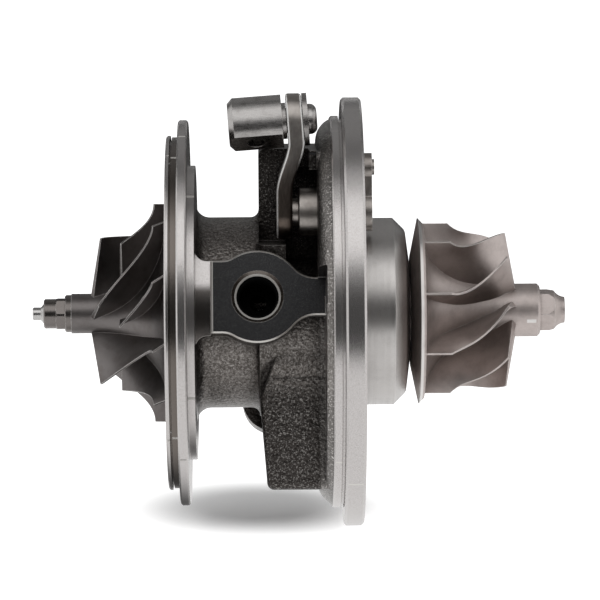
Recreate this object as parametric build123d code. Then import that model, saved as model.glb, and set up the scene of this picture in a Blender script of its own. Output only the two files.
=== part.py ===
from build123d import *
import os
from math import atan2, cos, pi, radians, sin, sqrt, tan

# Turbocharger cartridge with a variable-nozzle lever, lying on the rim of its turbine flange.
# The shaft axis is X, with the compressor end towards -X, and +Z is up.
# The origin is on the shaft axis, in the turbine-side face of the turbine flange.
# All sizes are in millimetres and degrees. Angles about X run from -Y towards +Z.

# Fits and running gaps, per side
FIT_GAP = 0.01
RUN_GAP = 0.03
END_PLAY = 0.1
SEAT_GAP = 0.05

# Turbine flange, its turned step and the cast collar that sweeps up to the step
TURBINE_FLANGE_R = 52.8
TURBINE_FLANGE_T = 4.9
FLANGE_CHAMFER = 0.6
UNDERCUT_W = 0.7
UNDERCUT_DEPTH = 0.9
STEP_LEDGE = 4.5
STEP_T = 2.8
STEP_CHAMFER = 0.4
COLLAR_DROP = 5.7
COLLAR_T = 3.4
COLLAR_BROW = 0.8
COLLAR_SWEEP_R = 6.0
COLLAR_SETBACK = 1.8
RING_RECESS_SHOULDER = 1.5
RING_RECESS_RIM = 6.2
RING_RECESS_DEPTH = 1.1

# Cast block between the turbine flange and the neck, and its bulge below the oil inlet
BLOCK_LENGTH = 14.1
BLOCK_HALF_W = 24.0
BLOCK_TOP_DROP = 7.7
BLOCK_BOTTOM_DROP = 7.0
BLOCK_RIM_GAP = 0.3
BLOCK_CORNER_R = 2.0
BLOCK_EDGE_R = 1.8
BLOCK_TAPER_ANGLE = 4.5632
BLOCK_TAPER_DROP = 20.0
BULGE_PROUD = 2.5
BULGE_DROP = 13.5
BULGE_START = 4.0
BULGE_START_SINK = 2.0
BULGE_SHOULDER_W = 4.0
BULGE_SHOULDER_DROP = 9.0
BULGE_SHOULDER_END = 19.5
BULGE_SHOULDER_SINK = 4.0

# Neck
NECK_LENGTH = 15.5
NECK_R = 23.5
NECK_FILLET = 3.5
NECK_BLOCK_FILLET = 2.0

# Compressor flange, from its neck side to its wheel side
LAND_R = 36.3
LAND_T = 1.7
COVER_FLANGE_R = 47.5
COVER_FLANGE_T = 2.4
COVER_CHAMFER = 0.4
COVER_BAND_R = 43.3
COVER_BAND_W = 1.5
COVER_GROOVE_W = 0.45
COVER_GROOVE_DEPTH = 1.1
COVER_LIP_R = 43.7
COVER_LIP_T = 0.95
WHEEL_RECESS_GAP = 0.8
WHEEL_RECESS_DEPTH = 1.2

# Oil inlet pad
INLET_LEAN = 13.0
PAD_HEIGHT = 27.0
INLET_FROM_NECK = 0.4
PAD_LOBE_R = 11.2
PAD_LEFT_REACH = 11.3
PAD_LEFT_HALF_H = 8.8
PAD_RIGHT_REACH = 16.5
PAD_RIGHT_HALF_H = 4.6
PAD_LEFT_BLEND = 5.0
PAD_RIGHT_BLEND = 7.0
PAD_CHAMFER = 0.4
RELIEF_R = 26.0
RELIEF_SPARE = 0.3
RELIEF_FILLET = 3.0
INLET_THREAD_R = 5.1
INLET_THREAD_DEPTH = 12.0
INLET_SINK = 1.2
FEED_R = 2.0
GALLERY_R = 1.5
GALLERY_HEIGHT = 11.2
DRIP_R = 1.2

# Oil drain pad, on the far side from the inlet
DRAIN_HEIGHT = 27.0
DRAIN_FROM_BLOCK = 3.2
DRAIN_BORE_R = 8.5
DRAIN_SHELL = 1.3
DRAIN_LOBE_R = 12.0
DRAIN_BOLT_SPACING = 40.0
DRAIN_EAR_R = 7.5
DRAIN_BOLT_R = 2.5
DRAIN_BOLT_DEPTH = 11.0
DRAIN_PAD_T = 9.0
CORE_R = 10.0
CORE_WALL = 3.5
CHANNEL_W = 7.0
CHANNEL_NEAR = 9.5
CHANNEL_FAR = 15.0

# Shaft and its floating bearings
JOURNAL_R = 4.0
WAIST_R = 3.5
WAIST_EASE = 1.5
BUSH_WALL = 2.5
BUSH_LENGTH = 7.0
BUSH_OIL_HOLE_R = 0.8
BUSH_OIL_DRILLINGS = 3
BUSH_CHAMFER = 0.35
STOP_RING_T = 1.0
STOP_RING_DEPTH = 0.7
STOP_RING_SPLIT = 3.0
BEARING_WALL_LIP = 1.0
TURBINE_BUSH_FROM_FACE = 6.2
SEAL_CHAMBER_R = 10.5
SEAL_CHAMBER_X = 1.0

# Thrust parts and the seal insert, in the pocket of the compressor flange
STUD_R = 2.5
THRUST_POCKET_R = 20.5
THRUST_PLATE_R = 17.5
THRUST_PLATE_T = 2.2
THRUST_DISC_R = 7.2
THRUST_DISC_T = 1.6
THRUST_SLEEVE_R = 4.4
THRUST_CAVITY_R = 8.6
THRUST_END_PLAY = 0.06
THRUST_PAD_COUNT = 3
THRUST_PAD_GROOVE = 0.9
THRUST_PAD_DEPTH = 0.35
THRUST_FEED_R = 0.75
THRUST_BORE_GAP = 0.15
THRUST_FLOOR_DEPTH = 1.2
DEFLECTOR_T = 0.8
DEFLECTOR_EDGE_R = 19.6
FLINGER_T = 1.9
FLINGER_SLEEVE_R = 5.4
FLINGER_BORE_GAP = 0.12
INSERT_FACE_T = 0.6
INSERT_CHAMBER_GAP = 0.8
INSERT_CHAMBER_EASE = 0.4
INSERT_HUB_EASE = 1.0
INSERT_GROOVE_W = 1.2
INSERT_GROOVE_DEPTH = 1.2
INSERT_RING_INSET = 0.6
INSERT_RING_T = 1.0
INSERT_RING_DEPTH = 1.3
INSERT_RING_W = 3.0
INSERT_RING_SPLIT = 9.0
PISTON_RING_T = 1.1
PISTON_RING_W = 1.2
PISTON_RING_SIDE_GAP = 0.1
PISTON_RING_SPLIT = 0.6
PISTON_RING_ANGLE = 90.0
COMP_RING_FROM_FACE = 0.6

# Compressor wheel, its x sizes counted from its back face
WHEEL_FACE_GAP = 0.7
COMP_TIP_R = 26.9
COMP_RIM_T = 0.7
COMP_EXIT_W = 3.8
COMP_INLET_R = 18.9
COMP_INLET_TIP_X = 16.9
COMP_INLET_HUB_X = 19.1
COMP_INLET_FLAT = 2.0
COMP_NOSE_R = 4.9
COMP_NOSE_X = 24.3
COMP_BLADES = 5
COMP_EXIT_ANGLE = 56.4
COMP_EXIT_RAKE = 4.3
COMP_WRAP = 46.1
COMP_LEAN = 22.1
SPLITTER_START = 0.255
COMP_TIP_T = 0.5
COMP_ROOT_T = 1.1
COMP_BLADE_STATIONS = 9

# Nut on the compressor end of the shaft, and the tip of the shaft beyond it
NUT_COLLAR_R = 4.6
NUT_COLLAR_T = 1.6
NUT_HEX_FLATS = 7.3
NUT_HEX_R = 4.05
NUT_HEX_T = 2.2
NUT_BOSS_T = 3.0
NUT_CHAMFER = 0.3
SHAFT_TIP_R = 1.6
SHAFT_TIP_LENGTH = 2.8
SHAFT_TIP_CHAMFER = 0.25
SHAFT_TIP_FLARE = 0.8

# Heat shield, a pressed cup over the turbine-side nose of the housing
SHIELD_PROUD = 0.1
SHIELD_WALL = 1.2
SHIELD_STRAIGHT = 7.7
SHIELD_SHOULDER_DROP = 3.0
SHIELD_SHOULDER_X = 10.7
SHIELD_FACE_R = 14.0
SHIELD_FACE_X = 11.5
SHIELD_HOLE_R = 9.4
SHIELD_BEND = 1.6
SHIELD_AIR_GAP = 0.8
SHIELD_LEVER_GAP = 1.0

# Turbine wheel
TURBINE_RIM_PROUD = 1.35
TURBINE_BACK_GAP = 0.5
TURBINE_BACK_FLAT_R = 13.8
TURBINE_CONE = 1.9
TURBINE_RIM_T = 1.3
TURBINE_BLADE_R = 21.6
TURBINE_INLET_X = 21.4
TURBINE_EXIT_R = 19.15
TURBINE_EXIT_X = 35.3
TURBINE_EXIT_HUB_X = 37.4
TURBINE_HUB_R = 6.55
TURBINE_HUB_END_X = 43.9
TURBINE_HUB_CHAMFER = 0.6
TURBINE_LUG_FLATS = 9.2
TURBINE_LUG_TURN = 8.0
TURBINE_LUG_TAPER = 3.6
TURBINE_LUG_CORNER_R = 4.8
TURBINE_LUG_END_R = 3.2
TURBINE_LUG_DOME_R = 3.4
TURBINE_LUG_LENGTH = 6.2
TURBINE_BLADES = 9
TURBINE_INLET_ANGLE = 15.8
TURBINE_WRAP = 32.0
TURBINE_WRAP_POWER = 1.9
TURBINE_DIP_POWER = 6
TURBINE_TIP_T = 0.5
TURBINE_ROOT_T = 1.5
TURBINE_BLADE_STATIONS = 10
TURBINE_SEAL_R = 7.6
TURBINE_SEAL_GAP = 0.15
TURBINE_SEAL_BACK_X = 2.0
TURBINE_RING_X = 3.0
WELD_SPIGOT_R = 2.5
WELD_SPIGOT_LENGTH = 4.0
HUB_CURVE_STEPS = 12

# Nozzle lever, its spindle and its bush
PIVOT_Y = -15.0
PIVOT_DROP = 22.7
LEVER_REACH = 22.3
LEVER_T = 3.9
LEVER_BOSS_R = 6.5
LEVER_EYE_R = 6.6
LEVER_WAIST = 9.0
LEVER_LEAN = 4.0
LEVER_JOG = 3.1
LEVER_JOG_START = 3.4
LEVER_JOG_END = 16.4
LEVER_TOP_SPARE = 1.0
LEVER_CHAMFER = 0.35
LEVER_BOSS_GAP = 1.4
BUSH_NOSE = 4.5
LEVER_BUSH_R = 5.9
SPINDLE_R = 3.5
SPINDLE_CHAMFER = 0.4
INNER_LEVER_T = 2.0
INNER_LEVER_HUB_R = 4.7
INNER_LEVER_REACH = 10.8
INNER_LEVER_WIDTH = 5.4
INNER_LEVER_EYE_R = 3.4
INNER_LEVER_GAP = 0.3
DRIVE_PIN_R = 1.9
DRIVE_PIN_PROUD = 0.6
SLOT_BACK = 9.6
SLOT_SIDE_GAP = 1.0
WELL_LIP = 6.5
WELL_FLOOR = 9.0
WELL_BACK = 16.0
WELL_TOP = 10.4
BRIDGE_REACH = 3.5

# Trunnion on the end of the lever
TRUNNION_R = 6.45
TRUNNION_LENGTH = 13.1
TRUNNION_CHAMFER = 1.3
TRUNNION_FLAT_ANGLE = 59.0
TRUNNION_FLAT_CUT = 0.95
TRUNNION_HOLE_R = 2.1
TRUNNION_NECK_R = 4.4
TRUNNION_NECK_T = 1.0
TRUNNION_SHANK_R = 3.0
TRUNNION_WASHER_R = 6.4
TRUNNION_WASHER_T = 1.2
RIVET_HEAD_R = 3.7
RIVET_HEAD_T = 2.1
DOME_SHARE = 0.8
SIDE_PLAY = 0.08

# How far a cut reaches past the surface that it opens
OVERCUT = 1.0

# Radii and heights of the housing, worked out from the sizes above
step_r = TURBINE_FLANGE_R - STEP_LEDGE
collar_r = step_r - COLLAR_DROP
block_top = step_r - BLOCK_TOP_DROP
block_bottom = step_r - BLOCK_BOTTOM_DROP
wheel_recess_r = COMP_TIP_R + WHEEL_RECESS_GAP
turbine_tip_r = TURBINE_BLADE_R + TURBINE_RIM_PROUD
shield_r = turbine_tip_r + SHIELD_PROUD
shield_shoulder_r = shield_r - SHIELD_SHOULDER_DROP

# Stations along the shaft axis, worked out from the sizes above
x_flange_back = -TURBINE_FLANGE_T
x_step_back = x_flange_back - STEP_T
x_collar_back = x_step_back - COLLAR_T
x_block_left = x_collar_back - BLOCK_LENGTH
x_land_back = x_block_left - NECK_LENGTH
x_land_front = x_land_back - LAND_T
x_cover_front = x_land_front - COVER_FLANGE_T
x_band_front = x_cover_front - COVER_BAND_W
x_groove_front = x_band_front - COVER_GROOVE_W
x_comp_face = x_groove_front - COVER_LIP_T
x_recess = x_comp_face + WHEEL_RECESS_DEPTH

bush_outer_r = JOURNAL_R + RUN_GAP + BUSH_WALL
bearing_bore_r = bush_outer_r + RUN_GAP
x_turbine_bush = -TURBINE_BUSH_FROM_FACE - BUSH_LENGTH
x_turbine_wall_left = x_turbine_bush - END_PLAY - STOP_RING_T - BEARING_WALL_LIP
x_turbine_wall_right = x_turbine_bush + BUSH_LENGTH + END_PLAY + STOP_RING_T + BEARING_WALL_LIP
x_pocket_floor = x_land_back + THRUST_FLOOR_DEPTH
x_shaft_shoulder = x_pocket_floor + THRUST_DISC_T + THRUST_END_PLAY
x_comp_wall_left = x_shaft_shoulder + END_PLAY
x_comp_bush = x_comp_wall_left + BEARING_WALL_LIP + STOP_RING_T + END_PLAY
x_comp_wall_right = x_comp_bush + BUSH_LENGTH + END_PLAY + STOP_RING_T + BEARING_WALL_LIP

x_thrust_front = x_pocket_floor - THRUST_PLATE_T
x_flinger_back = x_thrust_front - THRUST_END_PLAY
x_deflector_front = x_thrust_front - DEFLECTOR_T
x_flinger_front = x_flinger_back - FLINGER_T
x_insert_ring = x_recess + INSERT_RING_INSET
x_insert_face = x_insert_ring + INSERT_RING_T + 2 * SEAT_GAP
x_insert_groove = x_insert_face + INSERT_FACE_T
x_comp_ring_groove = x_recess + COMP_RING_FROM_FACE
insert_r = THRUST_POCKET_R - FIT_GAP
flinger_bore_r = FLINGER_SLEEVE_R + FLINGER_BORE_GAP
ring_groove_w = PISTON_RING_T + 2 * PISTON_RING_SIDE_GAP
x_wheel_back = x_recess - WHEEL_FACE_GAP
x_nut_back = x_wheel_back - COMP_NOSE_X
x_hex_back = x_nut_back - NUT_COLLAR_T
x_hex_front = x_hex_back - NUT_HEX_T
x_nut_front = x_hex_front - NUT_BOSS_T

x_shield_inner = SHIELD_FACE_X - SHIELD_WALL
x_nose_face = x_shield_inner - SHIELD_AIR_GAP
turbine_bore_r = TURBINE_SEAL_R + TURBINE_SEAL_GAP
x_turbine_back = SHIELD_FACE_X + TURBINE_BACK_GAP
x_turbine_rim = x_turbine_back + TURBINE_CONE
x_turbine_disc_front = x_turbine_rim + TURBINE_RIM_T
x_lug_end = TURBINE_HUB_END_X + TURBINE_LUG_LENGTH

x_inlet = x_block_left - INLET_FROM_NECK
x_drain = x_block_left + DRAIN_FROM_BLOCK
inlet_plane = Plane(
    origin=(x_inlet, 0, 0),
    x_dir=(1, 0, 0),
    z_dir=(0, -cos(radians(INLET_LEAN)), sin(radians(INLET_LEAN))),
)
drain_plane = Plane(
    origin=(x_drain, 0, 0),
    x_dir=(1, 0, 0),
    z_dir=(0, cos(radians(INLET_LEAN)), -sin(radians(INLET_LEAN))),
)

pivot_clear_r = shield_r + SHIELD_LEVER_GAP + INNER_LEVER_HUB_R
pivot_z = max(step_r - PIVOT_DROP, sqrt(pivot_clear_r**2 - PIVOT_Y**2))
x_bush_front = x_collar_back - BUSH_NOSE
x_lever_right = x_bush_front - LEVER_BOSS_GAP
x_lever_left = x_lever_right - LEVER_T
x_lever_mid = x_lever_right - LEVER_T / 2
x_eye_mid = x_lever_mid + LEVER_JOG - (LEVER_REACH - LEVER_JOG_END) * tan(radians(LEVER_LEAN))
pivot_plane = Plane(origin=(0, PIVOT_Y, pivot_z), x_dir=(0, 1, 0), z_dir=(1, 0, 0))
trunnion_plane = Plane(
    origin=(x_eye_mid, PIVOT_Y, pivot_z + LEVER_REACH),
    x_dir=(0, 1, 0),
    z_dir=(cos(radians(LEVER_LEAN)), 0, sin(radians(LEVER_LEAN))),
)


def turned(points):
    """A solid turned about the shaft axis from (x, radius) points."""
    return revolve(make_face(Polyline(*points, close=True)), Axis.X)


def tube(x_from, x_to, outer_r, inner_r=0.0):
    """A plain ring or disc on the shaft axis."""
    return turned([(x_from, inner_r), (x_from, outer_r), (x_to, outer_r), (x_to, inner_r)])


def rim_edges(part, x, radius, slack=0.02):
    """The round edges about the shaft axis at one x and radius."""
    found = []
    for edge in part.edges().filter_by(GeomType.CIRCLE):
        centre = edge.arc_center
        on_axis = abs(centre.Y) < slack and abs(centre.Z) < slack
        if on_axis and abs(centre.X - x) < slack and abs(edge.radius - radius) < slack:
            found.append(edge)
    return found


def rod(plane, radius, start, end):
    """A round bar along a plane's normal, from one height above it to another."""
    return plane.offset(start) * extrude(Circle(radius), end - start)


def split_ring(x_from, x_to, outer_r, inner_r, gap, gap_angle):
    """A ring with a gap sawn through one side."""
    reach = 2 * outer_r
    saw = Pos(0, 0, -reach / 2) * Box(4 * (x_to - x_from), gap, reach)
    saw = Rot(gap_angle, 0, 0) * saw
    return tube(x_from, x_to, outer_r, inner_r) - Pos((x_from + x_to) / 2, 0, 0) * saw


def around_x(point_x, radius, angle):
    """The point at an x, a radius and an angle from -Y towards +Z."""
    turn = radians(angle)
    return Vector(point_x, -radius * cos(turn), radius * sin(turn))


def housing_outside():
    """The turned outside: compressor flange, neck, turbine flange and nose."""
    groove_r = COVER_BAND_R - COVER_GROOVE_DEPTH
    nose_r = shield_r - SHIELD_WALL - SEAT_GAP
    undercut_r = step_r - UNDERCUT_DEPTH
    nose_shoulder_x = x_nose_face - (nose_r - shield_shoulder_r + SHIELD_WALL)
    recess_in_r = shield_r + RING_RECESS_SHOULDER
    recess_out_r = TURBINE_FLANGE_R - RING_RECESS_RIM
    flare_r = NECK_R + NECK_BLOCK_FILLET + SEAT_GAP
    body = turned([
        (x_recess, 0),
        (x_recess, wheel_recess_r),
        (x_comp_face, wheel_recess_r),
        (x_comp_face, COVER_LIP_R),
        (x_groove_front, COVER_LIP_R),
        (x_groove_front, groove_r),
        (x_band_front, groove_r),
        (x_band_front, COVER_BAND_R),
        (x_cover_front, COVER_BAND_R),
        (x_cover_front, COVER_FLANGE_R),
        (x_land_front, COVER_FLANGE_R),
        (x_land_front, LAND_R),
        (x_land_back, LAND_R),
        (x_land_back, NECK_R),
        (x_block_left, NECK_R),
        (x_block_left, flare_r),
        (x_step_back, flare_r),
        (x_step_back, step_r),
        (x_flange_back - UNDERCUT_W, step_r),
        (x_flange_back - UNDERCUT_W, undercut_r),
        (x_flange_back, undercut_r),
        (x_flange_back, TURBINE_FLANGE_R),
        (0, TURBINE_FLANGE_R),
        (0, recess_out_r),
        (-RING_RECESS_DEPTH, recess_out_r),
        (-RING_RECESS_DEPTH, recess_in_r),
        (0, recess_in_r),
        (0, nose_r),
        (nose_shoulder_x, nose_r),
        (x_nose_face, shield_shoulder_r - SHIELD_WALL),
        (x_nose_face, 0),
    ])
    chamfered = [
        (0, TURBINE_FLANGE_R, FLANGE_CHAMFER),
        (x_flange_back, TURBINE_FLANGE_R, FLANGE_CHAMFER),
        (x_step_back, step_r, STEP_CHAMFER),
        (x_cover_front, COVER_FLANGE_R, COVER_CHAMFER),
        (x_land_front, COVER_FLANGE_R, COVER_CHAMFER),
        (x_comp_face, COVER_LIP_R, COVER_CHAMFER),
    ]
    for x, radius, size in chamfered:
        body = chamfer(rim_edges(body, x, radius), size)
    body = fillet(rim_edges(body, x_block_left, NECK_R), NECK_BLOCK_FILLET)
    return fillet(rim_edges(body, x_land_back, NECK_R), NECK_FILLET)


def corner_box(x_range, y_back, z_range):
    """A box between two x and two z values, open towards the front from y_back."""
    size_x = x_range[1] - x_range[0]
    size_z = z_range[1] - z_range[0]
    box = Box(size_x, 2 * TURBINE_FLANGE_R, size_z, align=(Align.MIN, Align.MAX, Align.MIN))
    return Pos(x_range[0], y_back, z_range[0]) * box


def collar():
    """The cast collar, swept up to the step and set back beside the lower block."""
    foot = (x_collar_back, collar_r)
    brow = (x_step_back, step_r - COLLAR_BROW)
    sweep = RadiusArc(foot, brow, COLLAR_SWEEP_R)
    outline = sweep + Polyline(brow, (x_step_back, 0), (x_collar_back, 0), foot)
    swept = revolve(make_face(outline), Axis.X)
    pad_middle = inlet_plane.from_local_coords((0, 0, PAD_HEIGHT))
    x_range = (x_collar_back - OVERCUT, x_collar_back + COLLAR_SETBACK)
    return swept - corner_box(x_range, -BLOCK_HALF_W, (-TURBINE_FLANGE_R, pad_middle.Z))


def side_cut(points):
    """A cut through the block from its side, from an outline of (x, z) points."""
    outline = Plane.XZ * make_face(Polyline(*points, close=True))
    return extrude(outline, TURBINE_FLANGE_R, both=True)


def block_taper():
    """The wedge that slants the block's left side near its bottom."""
    slope = tan(radians(BLOCK_TAPER_ANGLE))
    x_end = x_block_left + slope * (TURBINE_FLANGE_R - BLOCK_TAPER_DROP)
    return side_cut([
        (x_block_left - OVERCUT, -BLOCK_TAPER_DROP),
        (x_block_left, -BLOCK_TAPER_DROP),
        (x_end, -TURBINE_FLANGE_R),
        (x_block_left - OVERCUT, -TURBINE_FLANGE_R),
    ])


def bulge_shoulder():
    """The corner of the block that is left out between the neck and the bulge."""
    x_shoulder = x_block_left + BULGE_SHOULDER_W
    wedge = side_cut([
        (x_block_left - OVERCUT, block_top),
        (x_shoulder, block_top),
        (x_shoulder, -BULGE_SHOULDER_DROP),
        (x_block_left, -BULGE_SHOULDER_END),
        (x_block_left - OVERCUT, -BULGE_SHOULDER_END),
    ])
    x_range = (x_block_left - OVERCUT, x_shoulder)
    y_back = BULGE_SHOULDER_SINK - BLOCK_HALF_W
    return wedge & corner_box(x_range, y_back, (-BULGE_SHOULDER_END, 0))


def cast_block():
    """The rough block between neck and flange, bulged in front below the oil inlet."""
    front = -BLOCK_HALF_W
    outline = make_face(Polyline(
        (front + BULGE_START_SINK, block_top),
        (BLOCK_HALF_W, block_top),
        (BLOCK_HALF_W, -block_bottom),
        (front, -block_bottom),
        (front - BULGE_PROUD, -BULGE_DROP),
        (front + BULGE_START_SINK, -BULGE_START),
        close=True,
    ))
    outline = fillet(outline.vertices(), BLOCK_CORNER_R)
    block = Plane.YZ.offset(x_block_left) * extrude(outline, x_step_back - x_block_left)
    block = block - block_taper()
    block = fillet(left_rim(block), BLOCK_EDGE_R) - bulge_shoulder()
    return block & tube(x_block_left, x_step_back, step_r - BLOCK_RIM_GAP)


def left_rim(block):
    """The edges round the block's left side, without the creases inside it."""
    rim = []
    sides = [face for face in block.faces() if face.normal_at().X < -0.5]
    for face in sides:
        others = [edge for other in sides if other is not face for edge in other.edges()]
        shared = [edge.center() for edge in others]
        for edge in face.edges():
            if all((edge.center() - centre).length > SEAT_GAP for centre in shared):
                rim.append(edge)
    return rim


def lever_slot():
    """The space above the neck that the lever swings in, open at its left and top."""
    right = x_lever_mid + LEVER_JOG + LEVER_T / 2 + SLOT_SIDE_GAP
    floor = pivot_z - LEVER_BOSS_R - SLOT_SIDE_GAP
    left = x_block_left - NECK_BLOCK_FILLET - SLOT_SIDE_GAP
    slot = corner_box((left, right), PIVOT_Y + SLOT_BACK, (floor, TURBINE_FLANGE_R))
    eaves_front = PIVOT_Y - BRIDGE_REACH
    return slot + corner_box((left, x_collar_back), eaves_front, (floor, TURBINE_FLANGE_R))


def bush_well():
    """The deep well round the lever's bush."""
    x_range = (x_block_left + WELL_LIP, x_collar_back)
    return corner_box(x_range, PIVOT_Y + WELL_BACK, (WELL_FLOOR, pivot_z + WELL_TOP))


def pad_outline():
    """The outline of the oil inlet pad: a round lobe with a wing on each side."""
    left = Pos(-PAD_LEFT_REACH / 2, 0) * Rectangle(PAD_LEFT_REACH, 2 * PAD_LEFT_HALF_H)
    right = Pos(PAD_RIGHT_REACH / 2, 0) * Rectangle(PAD_RIGHT_REACH, 2 * PAD_RIGHT_HALF_H)
    outline = Circle(PAD_LOBE_R) + left + right
    left_x = -sqrt(PAD_LOBE_R**2 - PAD_LEFT_HALF_H**2)
    right_x = sqrt(PAD_LOBE_R**2 - PAD_RIGHT_HALF_H**2)
    for corner_x, blend in [(left_x, PAD_LEFT_BLEND), (right_x, PAD_RIGHT_BLEND)]:
        corners = [v for v in outline.vertices() if abs(v.X - corner_x) < SEAT_GAP]
        outline = fillet(corners, blend)
    return outline


def inlet_pad():
    """The flat oil inlet pad."""
    pad = extrude(pad_outline(), PAD_HEIGHT)
    pad = chamfer(pad.faces().sort_by(Axis.Z)[-1].edges(), PAD_CHAMFER)
    return inlet_plane * pad


def pad_clearance():
    """The notch that milling the pad leaves in the collar."""
    return inlet_plane.offset(PAD_HEIGHT) * extrude(pad_outline(), TURBINE_FLANGE_R - PAD_HEIGHT)


def pad_relief():
    """The stretch of pad casting that is turned down beside the compressor flange."""
    pad_left = x_inlet - PAD_LEFT_REACH
    length = pad_left - x_land_back
    half_h = PAD_LEFT_HALF_H + RELIEF_SPARE
    head_half_h = half_h + RELIEF_FILLET + SEAT_GAP
    stem = Pos(length / 2, 0) * Rectangle(length, 2 * half_h)
    head = Pos(-OVERCUT / 2, 0) * Rectangle(OVERCUT, 2 * head_half_h)
    outline = stem + head
    at_land = [v for v in outline.vertices() if abs(v.X) < SEAT_GAP]
    inner = [v for v in at_land if abs(v.Y) < half_h + SEAT_GAP]
    outline = fillet(inner, RELIEF_FILLET)
    blank = inlet_plane * Pos(x_land_back - x_inlet, 0, 0) * extrude(outline, PAD_HEIGHT)
    return blank & tube(x_land_back, pad_left, RELIEF_R)


def drain_pad():
    """The oil drain pad with its two bolt ears."""
    ears = [Pos(0, side * DRAIN_BOLT_SPACING / 2) * Circle(DRAIN_EAR_R) for side in (-1, 1)]
    outline = make_hull(ears[0].edges() + ears[1].edges() + Circle(DRAIN_LOBE_R).edges())
    pad = extrude(outline, DRAIN_PAD_T)
    pad = chamfer(pad.faces().sort_by(Axis.Z)[-1].edges(), PAD_CHAMFER)
    return drain_plane.offset(DRAIN_HEIGHT - DRAIN_PAD_T) * pad


def shaft_bores():
    """The turned hollows on the shaft axis."""
    ring_r = bearing_bore_r + STOP_RING_DEPTH
    pocket = tube(x_comp_face, x_pocket_floor, THRUST_POCKET_R)
    pocket += tube(x_insert_ring, x_insert_face, THRUST_POCKET_R + INSERT_RING_DEPTH)
    pocket += tube(x_pocket_floor - OVERCUT, x_comp_wall_left, THRUST_CAVITY_R)
    bore = tube(x_comp_wall_left - OVERCUT, x_turbine_wall_right + OVERCUT, bearing_bore_r)
    core = tube(x_comp_wall_right, x_turbine_wall_left, CORE_R)
    chamber = tube(x_turbine_wall_right, -SEAL_CHAMBER_X, SEAL_CHAMBER_R)
    seal_bore = tube(-SEAL_CHAMBER_X - OVERCUT, x_nose_face + OVERCUT, turbine_bore_r)
    hollows = pocket + bore + core + chamber + seal_bore
    for x in stop_ring_places():
        hollows += tube(x - SEAT_GAP, x + STOP_RING_T + SEAT_GAP, ring_r)
    return hollows


def stop_ring_places():
    """The left faces of the four stop rings, one each side of each bush."""
    places = []
    for x_bush in [x_comp_bush, x_turbine_bush]:
        places.append(x_bush - END_PLAY - STOP_RING_T)
        places.append(x_bush + BUSH_LENGTH + END_PLAY)
    return places


def oil_ways():
    """The drilled oil feed, the cast drain and the bolt holes."""
    thread_floor = PAD_HEIGHT - INLET_THREAD_DEPTH
    ways = rod(inlet_plane, INLET_THREAD_R, thread_floor, PAD_HEIGHT + OVERCUT)
    sink = extrude(Circle(INLET_THREAD_R + INLET_SINK), -INLET_SINK, taper=45)
    ways += inlet_plane.offset(PAD_HEIGHT) * sink
    ways += rod(inlet_plane, FEED_R, GALLERY_HEIGHT, thread_floor + OVERCUT)
    gallery_end = x_turbine_bush + BUSH_LENGTH / 2 + GALLERY_R
    gallery_start = x_pocket_floor - OVERCUT
    gallery_plane = Plane(
        origin=inlet_plane.from_local_coords((gallery_start - x_inlet, 0, GALLERY_HEIGHT)),
        x_dir=inlet_plane.y_dir,
        z_dir=(1, 0, 0),
    )
    ways += rod(gallery_plane, GALLERY_R, 0, gallery_end - gallery_start)
    for x_bush in [x_comp_bush, x_turbine_bush]:
        drip = rod(inlet_plane, DRIP_R, JOURNAL_R + BUSH_WALL / 2, GALLERY_HEIGHT)
        ways += Pos(x_bush + BUSH_LENGTH / 2 - x_inlet, 0, 0) * drip
    drain_floor = bearing_bore_r + STOP_RING_DEPTH + DRAIN_SHELL
    ways += rod(drain_plane, DRAIN_BORE_R, drain_floor, DRAIN_HEIGHT + OVERCUT)
    bolt_floor = DRAIN_HEIGHT - DRAIN_BOLT_DEPTH
    for side in (-1, 1):
        hole = rod(drain_plane, DRAIN_BOLT_R, bolt_floor, DRAIN_HEIGHT + OVERCUT)
        ways += Pos(side * DRAIN_BOLT_SPACING / 2 * drain_plane.y_dir) * hole
    channel_left = x_pocket_floor - OVERCUT
    channel_right = -SEAL_CHAMBER_X - OVERCUT
    channel = Box(
        channel_right - channel_left,
        CHANNEL_W,
        CHANNEL_FAR - CHANNEL_NEAR,
        align=(Align.MIN, Align.CENTER, Align.MIN),
    )
    ways += drain_plane * Pos(channel_left - x_drain, 0, CHANNEL_NEAR) * channel
    return ways


def bearing_housing():
    """The cast and machined housing that everything is built into."""
    block = cast_block() + collar() - pad_clearance()
    body = housing_outside() + block - lever_slot() - bush_well()
    body += tube(x_land_back, x_block_left, NECK_R)
    body += tube(x_block_left, x_collar_back, CORE_R + CORE_WALL)
    body += inlet_pad() + pad_relief() + drain_pad()
    body -= shaft_bores()
    body -= oil_ways()
    body -= rod(pivot_plane, LEVER_BUSH_R + FIT_GAP, x_collar_back - OVERCUT, OVERCUT)
    return body


def heat_shield():
    """The pressed cup over the housing's nose."""
    inner_r = shield_r - SHIELD_WALL
    corner = SHIELD_WALL * tan(pi / 8)
    outline = make_face(Polyline(
        (SEAT_GAP, shield_r),
        (SHIELD_STRAIGHT, shield_r),
        (SHIELD_SHOULDER_X, shield_shoulder_r),
        (SHIELD_FACE_X, SHIELD_FACE_R),
        (SHIELD_FACE_X, SHIELD_HOLE_R),
        (x_shield_inner, SHIELD_HOLE_R),
        (x_shield_inner, SHIELD_FACE_R),
        (SHIELD_SHOULDER_X - SHIELD_WALL, shield_shoulder_r - corner),
        (SHIELD_STRAIGHT - corner, inner_r),
        (SEAT_GAP, inner_r),
        close=True,
    ))
    shoulder = outline.vertices().sort_by_distance((SHIELD_SHOULDER_X, shield_shoulder_r, 0))[0]
    return revolve(fillet(shoulder, SHIELD_BEND), Axis.X)


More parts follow.
